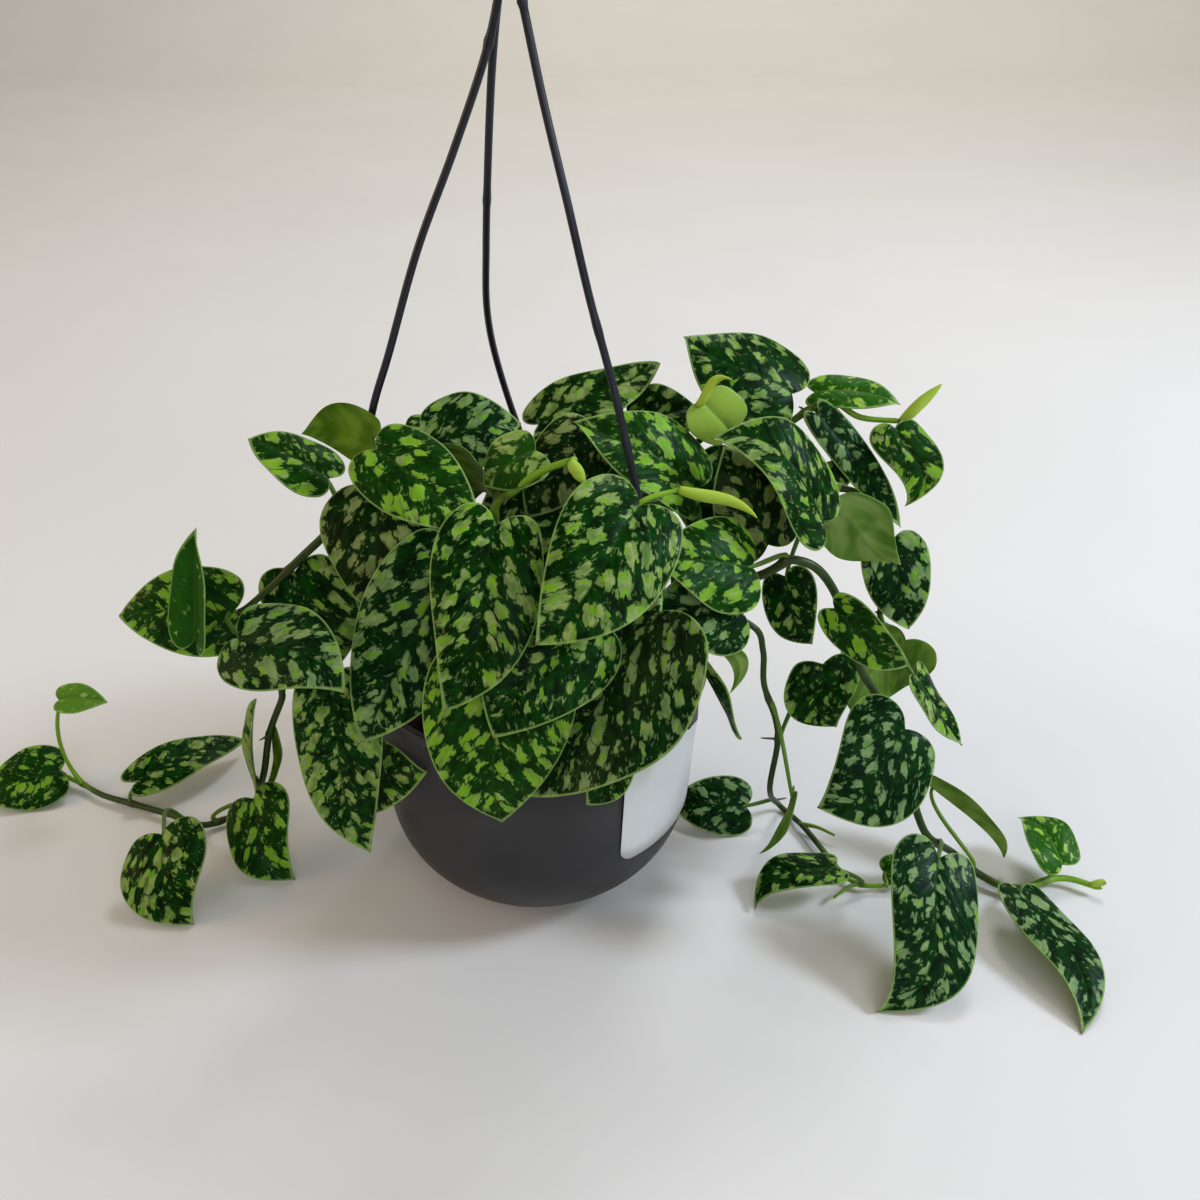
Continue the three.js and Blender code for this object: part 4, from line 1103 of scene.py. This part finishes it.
def leaf_material():
    """Grown leaf skin, satin from its wax: deep green with islands of silver and lime that lie along the
    side veins, a thin pale margin and a brown tip, a paler underside, and a quilting between the veins."""
    material, tree, shader = new_material("scindapsus_leaf_skin")
    grain = add(tree, "Attribute", out="Vector", attribute_name="grain")
    place = add(tree, "Attribute", out="Vector", attribute_name="place")
    look = add(tree, "Attribute", out="Color", attribute_name="look")
    young = look.node.outputs["Alpha"]
    silver_amount, lime_amount, bronze = add(tree, "SeparateColor", [look]).node.outputs
    margin, rib, upper = add(tree, "SeparateXYZ", [place]).node.outputs
    veins, from_rib, back = add(tree, "SeparateXYZ", [grain]).node.outputs
    from_tip = add(tree, "Math", [back, LEAF_STEP], operation="MODULO")

    # The place on the leaf, with the splashes' edges bent and frayed, in the turned frame of the splashes
    second_half = add(tree, "Math", [from_rib, 0], operation="GREATER_THAN")
    sided = add(tree, "Math", [second_half, HALF_STEP, rib], operation="MULTIPLY_ADD")
    edge = add(tree, "CombineXYZ", [sided, back])
    frayed = add(tree, "Mapping", {"Vector": grain, "Scale": (FRAYS, FRAYS, 0)})
    for where, scale, detail, roughness, warp in (
        (grain, BENDS, 1, 0.5, BEND_REACH), (frayed, 1, 2, 0.6, FRAY_REACH),
    ):
        pattern = {"Vector": where, "Scale": scale, "Detail": detail, "Roughness": roughness}
        bend = add(tree, "TexNoise", pattern, "Color")
        centred = add(tree, "VectorMath", [bend, (0.5, 0.5, 0.5)], operation="SUBTRACT")
        shift = add(tree, "VectorMath", [centred, warp], operation="MULTIPLY")
        edge = add(tree, "VectorMath", [edge, shift], operation="ADD")
    turn, size = (0, 0, math.radians(SPLASH_TURN)), (SPLASH_LENGTH, SPLASH_WIDTH, 1)
    splash_frame = add(
        tree, "Mapping", {"Vector": edge, "Rotation": turn, "Scale": size}, vector_type="TEXTURE")

    # Islands: one in each cell of the frame, larger by chance and in lighter areas, and none on the midrib
    islands = add(
        tree, "TexVoronoi", {"Vector": splash_frame, "Scale": 1, "Exponent": 3.5},
        voronoi_dimensions="2D", distance="MINKOWSKI")
    chance = add(tree, "SeparateColor", [islands.node.outputs["Color"]])
    broad = add(tree, "TexNoise", {"Vector": grain, "Scale": LIGHTER_AREAS, "Detail": 1})
    near_margin = add(tree, "MapRange", [margin, 0.5, 5, 0.12, 0], **SOFT)
    near_rib = add(tree, "MapRange", [rib, 0.2, 2, -0.25, 0], **SOFT)
    reach = add(tree, "Math", [chance, 0.75, 0.2], operation="MULTIPLY_ADD")
    reach = add(tree, "Math", [broad, 0.3, reach], operation="MULTIPLY_ADD")
    reach = add(tree, "Math", [reach, near_margin], operation="ADD")
    reach = add(tree, "Math", [reach, near_rib], operation="ADD")
    reach = add(tree, "Math", [reach, silver_amount], operation="MULTIPLY")
    inside = add(tree, "Math", [reach, islands], operation="SUBTRACT")
    island = add(tree, "MapRange", [inside, -0.01, 0.09], **SOFT)

    # Islets: smaller and weaker, more of them near the margin, and none on a leaf without splashes
    finer = add(tree, "VectorMath", {0: splash_frame, "Scale": 1 / ISLET_SHARE}, operation="SCALE")
    islets = add(tree, "TexVoronoi", {"Vector": finer, "Scale": 1}, voronoi_dimensions="2D")
    luck = add(tree, "SeparateColor", [islets.node.outputs["Color"]])
    by_margin = add(tree, "MapRange", [margin, 0.5, 6, 0.2, 0], **SOFT)
    luck = add(tree, "Math", [luck, by_margin], operation="ADD")
    luck = add(tree, "Math", [luck, 0.5], operation="MULTIPLY")
    islet = add(tree, "Math", [luck, islets], operation="SUBTRACT")
    islet = add(tree, "MapRange", [islet, 0.12, 0.26, 0, 0.6], **SOFT)
    splashed = add(tree, "MapRange", [silver_amount, 0.1, 0.3], **SOFT)
    islet = add(tree, "Math", [islet, splashed], operation="MULTIPLY")
    silver = add(tree, "Math", [island, islet], operation="MAXIMUM")

    # Lime: whole patches of the islands, a little inside their edges
    patches = add(tree, "TexNoise", {"Vector": grain, "Scale": LIME_PATCHES, "Detail": 1})
    patches = add(tree, "Math", [patches, 0.75], operation="SUBTRACT")
    patches = add(tree, "Math", [lime_amount, 0.5, patches], operation="MULTIPLY_ADD")
    patches = add(tree, "MapRange", [patches, -0.02, 0.06], **SOFT)
    within = add(tree, "MapRange", [inside, 0.02, 0.12], **SOFT)
    lime = add(tree, "Math", [patches, within], operation="MULTIPLY")

    # The tones of each colour, cast to bronze (an aged brownish tone, partly painted shade) or blue, and
    # paler with youth
    mottle = add(tree, "TexNoise", {"Vector": grain, "Scale": MOTTLES, "Detail": 3, "Roughness": 0.6})
    mottled = add(tree, "MapRange", [mottle, 0.3, 0.7], **SOFT)
    blue = add(tree, "MapRange", [bronze, 0, -1], **SOFT)
    newest = add(tree, "MapRange", [young, 0.85, 1, 0, 0.9], **SOFT)
    rolled = add(tree, "MapRange", [young, 1, 1.4], **SOFT)
    tones = []
    for share, dull, bright, casts in (
        (mottled, "#041d01", "#0e4706", [
            (bronze, "#19200c"), (blue, "#0a2a1a"), (young, "#3f7d1c"),
            (newest, "#a4bd55"), (rolled, "#a8c24e"),
        ]),
        (mottled, "#64823f", "#9cad6c", [(bronze, "#7c7a55"), (blue, "#6b9077"), (young, "#a4bf62")]),
        (mottle, "#528c0c", "#93bf3a", [(young, "#b0cf58")]),
    ):
        tone = add(tree, "Mix", {0: share, 6: dull, 7: bright}, **COLOURS)
        for cast, code in casts:
            tone = add(tree, "Mix", {0: cast, 6: tone, 7: code}, **COLOURS)
        tones.append(tone)
    deep_skin, silver_skin, lime_skin = tones

    # Freckles: green ones on the silver, and silver ones on the green, most near the margin
    spots = add(tree, "TexNoise", {"Vector": grain, "Scale": SPOTS, "Detail": 2, "Roughness": 0.6})
    freckles = add(tree, "MapRange", [spots, 0.62, 0.68], **SOFT)
    freckles = add(tree, "Math", [freckles, 0.5], operation="MULTIPLY")
    green_freckles = add(tree, "Math", [freckles, silver], operation="MULTIPLY")
    sprinkle = add(tree, "MapRange", [margin, 1, 9, 0.9, 0.2], **SOFT)
    sprinkle = add(tree, "Math", [sprinkle, silver_amount], operation="MULTIPLY")
    silver_freckles = add(tree, "Math", [freckles, sprinkle], operation="MULTIPLY")

    # Side veins every few millimetres, softer on a young leaf, then the midrib, the margin and the tip
    wave = add(tree, "Math", [veins, math.pi / VEIN_STEP], operation="MULTIPLY")
    wave = add(tree, "Math", [wave], operation="SINE")
    wave = add(tree, "Math", [wave], operation="ABSOLUTE")
    firm = add(tree, "MapRange", [young, 0.5, 1, 1, 0.25], **SOFT)
    vein = add(tree, "MapRange", [wave, 0, 0.16, 1, 0], **SOFT)
    vein = add(tree, "Math", [vein, firm], operation="MULTIPLY")
    faint_vein = add(tree, "Math", [vein, 0.16], operation="MULTIPLY")
    under_vein = add(tree, "Math", [vein, 0.25], operation="MULTIPLY")
    rib_line = add(tree, "MapRange", [rib, 0.2, 0.8, 0.6, 0], **SOFT)
    rib_skin = add(tree, "Mix", {0: young, 6: "#14400c", 7: "#7fa04a"}, **COLOURS)
    margin_line = add(tree, "MapRange", [margin, 0.3, 0.8, 0.7, 0], **SOFT)
    tip_point = add(tree, "MapRange", [from_tip, 0.3, 1.1, 0.8, 0], **SOFT)
    skin = deep_skin
    for share, coat in (
        (silver, silver_skin), (lime, lime_skin),
        (green_freckles, "#24501a"), (silver_freckles, silver_skin),
        (faint_vein, "#0c2c08"), (rib_line, rib_skin), (margin_line, "#96b26a"), (tip_point, "#a06a2a"),
    ):
        skin = add(tree, "Mix", {0: share, 6: skin, 7: coat}, **COLOURS)

    # The underside shows a trace of the splashes, and its veins
    clouded = add(tree, "MapRange", [broad, 0.35, 0.65], **SOFT)
    pale_clouded = add(tree, "MapRange", [broad, 0.3, 0.7], **SOFT)
    under = add(tree, "Mix", {0: clouded, 6: "#48680f", 7: "#6a8a26"}, **COLOURS)
    pale_under = add(tree, "Mix", {0: pale_clouded, 6: "#6c9640", 7: "#9db869"}, **COLOURS)
    trace = add(tree, "Math", [silver, 0.15], operation="MULTIPLY")
    for share, coat in ((trace, "#7f9560"), (young, pale_under), (under_vein, "#39551a")):
        under = add(tree, "Mix", {0: share, 6: under, 7: coat}, **COLOURS)
    face = add(tree, "MapRange", [upper, 0.2, 0.8], **SOFT)
    skin = add(tree, "Mix", {0: face, 6: under, 7: skin}, **COLOURS)

    # Relief: quilted between the veins, pitted by the spots, and a little raised where silver
    quilt = add(tree, "Math", [firm, 0.7], operation="MULTIPLY")
    height = add(tree, "Math", [wave, quilt], operation="MULTIPLY")
    height = add(tree, "Math", [spots, 0.35, height], operation="MULTIPLY_ADD")
    height = add(tree, "Math", [silver, 0.08, height], operation="MULTIPLY_ADD")
    bump = add(tree, "Bump", {"Height": height, "Strength": 0.3, "Distance": 0.5 * MM})
    gloss = add(tree, "MapRange", [spots, 0.3, 0.8, 0.34, 0.5], **SOFT)
    connect(tree, shader, {
        "Base Color": skin, "Roughness": gloss, "IOR": 1.45, "Specular IOR Level": 0.12, "Normal": bump,
        "Subsurface Weight": 0.12, "Subsurface Radius": (0.6, 1.0, 0.2), "Subsurface Scale": MM,
    })
    return material


def stalk_material():
    """Grown stalk skin, smooth and round: streaked green along its length, browner at the nodes, fresher on
    petioles and young ends, so that old and new growth tell apart."""
    material, tree, shader = new_material("scindapsus_stalk_skin")
    grain = add(tree, "Attribute", out="Vector", attribute_name="grain")
    place = add(tree, "Attribute", out="Vector", attribute_name="place")
    look = add(tree, "Attribute", out="Color", attribute_name="look")
    is_petiole, young, bronze = add(tree, "SeparateColor", [look]).node.outputs
    near_node = add(tree, "SeparateXYZ", [place], "Z")
    streaks = add(tree, "Mapping", {"Vector": grain, "Scale": STALK_STREAKS})
    streak = add(tree, "TexNoise", {"Vector": streaks, "Scale": 1, "Detail": 3, "Roughness": 0.6})
    skin = add(tree, "Mix", {0: streak, 6: "#15260c", 7: "#3a4f1d"}, **COLOURS)
    fresh = add(tree, "Mix", {0: streak, 6: "#3f6a1c", 7: "#7a9f3c"}, **COLOURS)
    # A petiole's dull brown coat follows its leaf's bronze cast, which is partly an aged tone and partly
    # painted shade
    for share, factor, least, coat in (
        (is_petiole, 0.55, 0.1, fresh), (young, 0.8, 0, "#8ab52e"),
        (bronze, 0.4, 0, "#4c4a34"), (near_node, 0.55, 0, "#4b3d26"),
    ):
        share = add(tree, "Math", [share, factor, least], operation="MULTIPLY_ADD")
        skin = add(tree, "Mix", {0: share, 6: skin, 7: coat}, **COLOURS)
    bump = add(tree, "Bump", {"Height": streak, "Strength": 0.4, "Distance": 0.3 * MM})
    connect(tree, shader, {
        "Base Color": skin, "Roughness": 0.42, "IOR": 1.45, "Normal": bump,
        "Subsurface Weight": 0.1, "Subsurface Radius": (0.6, 1.0, 0.2), "Subsurface Scale": MM,
    })
    return material


def root_material():
    """Dry corky skin of the aerial roots: dull grey-brown and rough, with millimetre grit."""
    material, tree, shader = new_material("dry_aerial_root")
    place = add(tree, "TexCoord", out="Object")
    scale = grains_per_metre(1.11)
    grit = add(tree, "TexNoise", {"Vector": place, "Scale": scale, "Detail": 3, "Roughness": 0.6})
    skin = add(tree, "Mix", {0: grit, 6: "#4a4032", 7: "#8a8270"}, **COLOURS)
    bump = add(tree, "Bump", {"Height": grit, "Strength": 0.5, "Distance": 0.3 * MM})
    connect(tree, shader, {"Base Color": skin, "Roughness": 0.85, "IOR": 1.4, "Normal": bump})
    return material


def plastic_material(name, dark, light, roughness, grain_size, grain_depth):
    """Injection-moulded polypropylene: an even colour, clouded a little by handling, with the mould's grain
    of a size and depth in millimetres, drawn somewhat coarser than the real one so that it shows."""
    material, tree, shader = new_material(name)
    place = add(tree, "TexCoord", out="Object")
    handling, grain = grains_per_metre(35.7), grains_per_metre(grain_size)
    cloud = add(tree, "TexNoise", {"Vector": place, "Scale": handling, "Detail": 4, "Roughness": 0.6})
    fine = add(tree, "TexNoise", {"Vector": place, "Scale": grain, "Detail": 2})
    clouded = add(tree, "MapRange", [cloud, 0.3, 0.75], **SOFT)
    skin = add(tree, "Mix", {0: clouded, 6: dark, 7: light}, **COLOURS)
    rough = add(tree, "MapRange", [cloud, 0.3, 0.7, roughness - 0.06, roughness + 0.08], **SOFT)
    bump = add(tree, "Bump", {"Height": fine, "Strength": 0.3, "Distance": grain_depth * MM})
    connect(tree, shader, {"Base Color": skin, "Roughness": rough, "IOR": 1.49, "Normal": bump})
    return material


def soil_material():
    """Damp peaty potting mix, crumbled: dull dark brown lumps of a few millimetres, with paler fibre."""
    material, tree, shader = new_material("potting_mix")
    place = add(tree, "TexCoord", out="Object")
    lump_scale, fibre_scale = grains_per_metre(3.85), grains_per_metre(1.11)
    lumps = add(tree, "TexNoise", {"Vector": place, "Scale": lump_scale, "Detail": 4, "Roughness": 0.7})
    fibre = add(tree, "TexNoise", {
        "Vector": place, "Scale": fibre_scale, "Detail": 3, "Roughness": 0.7, "Distortion": 1.5,
    })
    fibre = add(tree, "MapRange", [fibre, 0.62, 0.72, 0, 0.7], **SOFT)
    skin = add(tree, "Mix", {0: lumps, 6: "#1c120b", 7: "#4d3826"}, **COLOURS)
    skin = add(tree, "Mix", {0: fibre, 6: skin, 7: "#8a6d4a"}, **COLOURS)
    bump = add(tree, "Bump", {"Height": lumps, "Strength": 0.8, "Distance": MM})
    connect(tree, shader, {"Base Color": skin, "Roughness": 0.95, "IOR": 1.35, "Normal": bump})
    return material


def paper_material():
    """Coated label paper, smooth from its press: nearly even white, with a faint tooth and soft scuffs."""
    material, tree, shader = new_material("coated_label_paper")
    place = add(tree, "TexCoord", out="Object")
    scuff_scale, tooth_scale = grains_per_metre(22.2), grains_per_metre(0.4)
    scuff = add(tree, "TexNoise", {"Vector": place, "Scale": scuff_scale, "Detail": 4, "Roughness": 0.6})
    tooth = add(tree, "TexNoise", {"Vector": place, "Scale": tooth_scale, "Detail": 2})
    skin = add(tree, "Mix", {0: scuff, 6: "#c3c6c6", 7: "#d6d7d3"}, **COLOURS)
    rough = add(tree, "MapRange", [scuff, 0.3, 0.7, 0.42, 0.55], **SOFT)
    bump = add(tree, "Bump", {"Height": tooth, "Strength": 0.15, "Distance": 0.1 * MM})
    connect(tree, shader, {"Base Color": skin, "Roughness": rough, "IOR": 1.5, "Normal": bump})
    return material


def floor_material():
    """Painted studio sheet, matt: pale and faintly uneven in tone."""
    material, tree, shader = new_material("pale_studio_floor")
    place = add(tree, "TexCoord", out="Object")
    cloud = add(tree, "TexNoise", {"Vector": place, "Scale": grains_per_metre(333), "Detail": 3})
    skin = add(tree, "Mix", {0: cloud, 6: "#dddbd6", 7: "#e5e3df"}, **COLOURS)
    connect(tree, shader, {"Base Color": skin, "Roughness": 0.7, "IOR": 1.4})
    return material


# Scene
def floor_piece():
    """A wide floor that curves up into a backdrop far behind the plant."""
    profile = [(FLOOR_FRONT, 0)]
    for turn in np.linspace(0, math.pi / 2, CURVE_STEPS):
        profile.append((FLOOR_BACK + FLOOR_CURVE * math.sin(turn), FLOOR_CURVE * (1 - math.cos(turn))))
    profile.append((FLOOR_BACK + FLOOR_CURVE, BACKDROP_TOP))
    points = [(x, y, z) for y, z in profile for x in (-FLOOR_HALF_WIDTH, FLOOR_HALF_WIDTH)]
    mesh = bpy.data.meshes.new("studio_floor")
    mesh.from_pydata(points, [], [[2 * i, 2 * i + 1, 2 * i + 3, 2 * i + 2] for i in range(len(profile) - 1)])
    mesh.polygons.foreach_set("use_smooth", [True] * len(mesh.polygons))
    mesh.materials.append(floor_material())
    made = bpy.data.objects.new("studio_floor", mesh)
    bpy.context.scene.collection.objects.link(made)
    return made


def soft_light(name, place, aim, width, height, power, tint):
    """A soft box: a lit rectangle that faces a point."""
    data = bpy.data.lights.new(name, "AREA")
    data.shape, data.size, data.size_y = "RECTANGLE", width, height
    data.energy, data.color = power, colour(tint)[:3]
    made = bpy.data.objects.new(name, data)
    made.location = place
    made.rotation_euler = (Vector(aim) - Vector(place)).to_track_quat("-Z", "Y").to_euler()
    bpy.context.scene.collection.objects.link(made)


LEAF, STALK_SKIN, ROOT_SKIN = leaf_material(), stalk_material(), root_material()
POT_PLASTIC = plastic_material("satin_moulded_polypropylene", "#2b2a2c", "#353436", 0.42, 0.6, 0.08)
HANGER_PLASTIC = plastic_material("glossy_moulded_polypropylene", "#1c1f27", "#272b34", 0.32, 0.8, 0.04)
POTTING_MIX, STICKER_PAPER = soil_material(), paper_material()

pot_piece()
soil_piece()
hanger_piece()
sticker_piece()
leaf_order = 0
grown = [(stem["name"], stem["thick"], stem["path"], stem["leaves"]) for stem in STEMS]
grown += [(back[0], BACK_STEM_THICK, *hanging_stem(*back[1:])) for back in BACK_STEMS]
for stem_name, stem_thick, stem_path, stem_leaves in grown:
    stem_piece(stem_name, stem_thick, stem_path, stem_leaves, leaf_order)
    leaf_order += len(stem_leaves)

floor_piece()
for light in LIGHTS:
    soft_light(*light)
world = bpy.data.worlds.new("soft_room")
world.use_nodes = True
connect(world.node_tree, world.node_tree.nodes["Background"], {"Color": ROOM_TINT, "Strength": ROOM_POWER})
bpy.context.scene.world = world
bpy.context.scene.view_settings.view_transform = "Standard"
bpy.context.scene.view_settings.look = "Medium High Contrast"

camera_data = bpy.data.cameras.new("camera")
camera_data.lens, camera_data.sensor_width = CAMERA_LENS, CAMERA_SENSOR
camera_data.clip_end = CAMERA_REACH
camera = bpy.data.objects.new("camera", camera_data)
camera.location = CAMERA_PLACE
camera.rotation_euler = (math.radians(90 - CAMERA_PITCH), 0, 0)
bpy.context.scene.collection.objects.link(camera)
bpy.context.scene.camera = camera
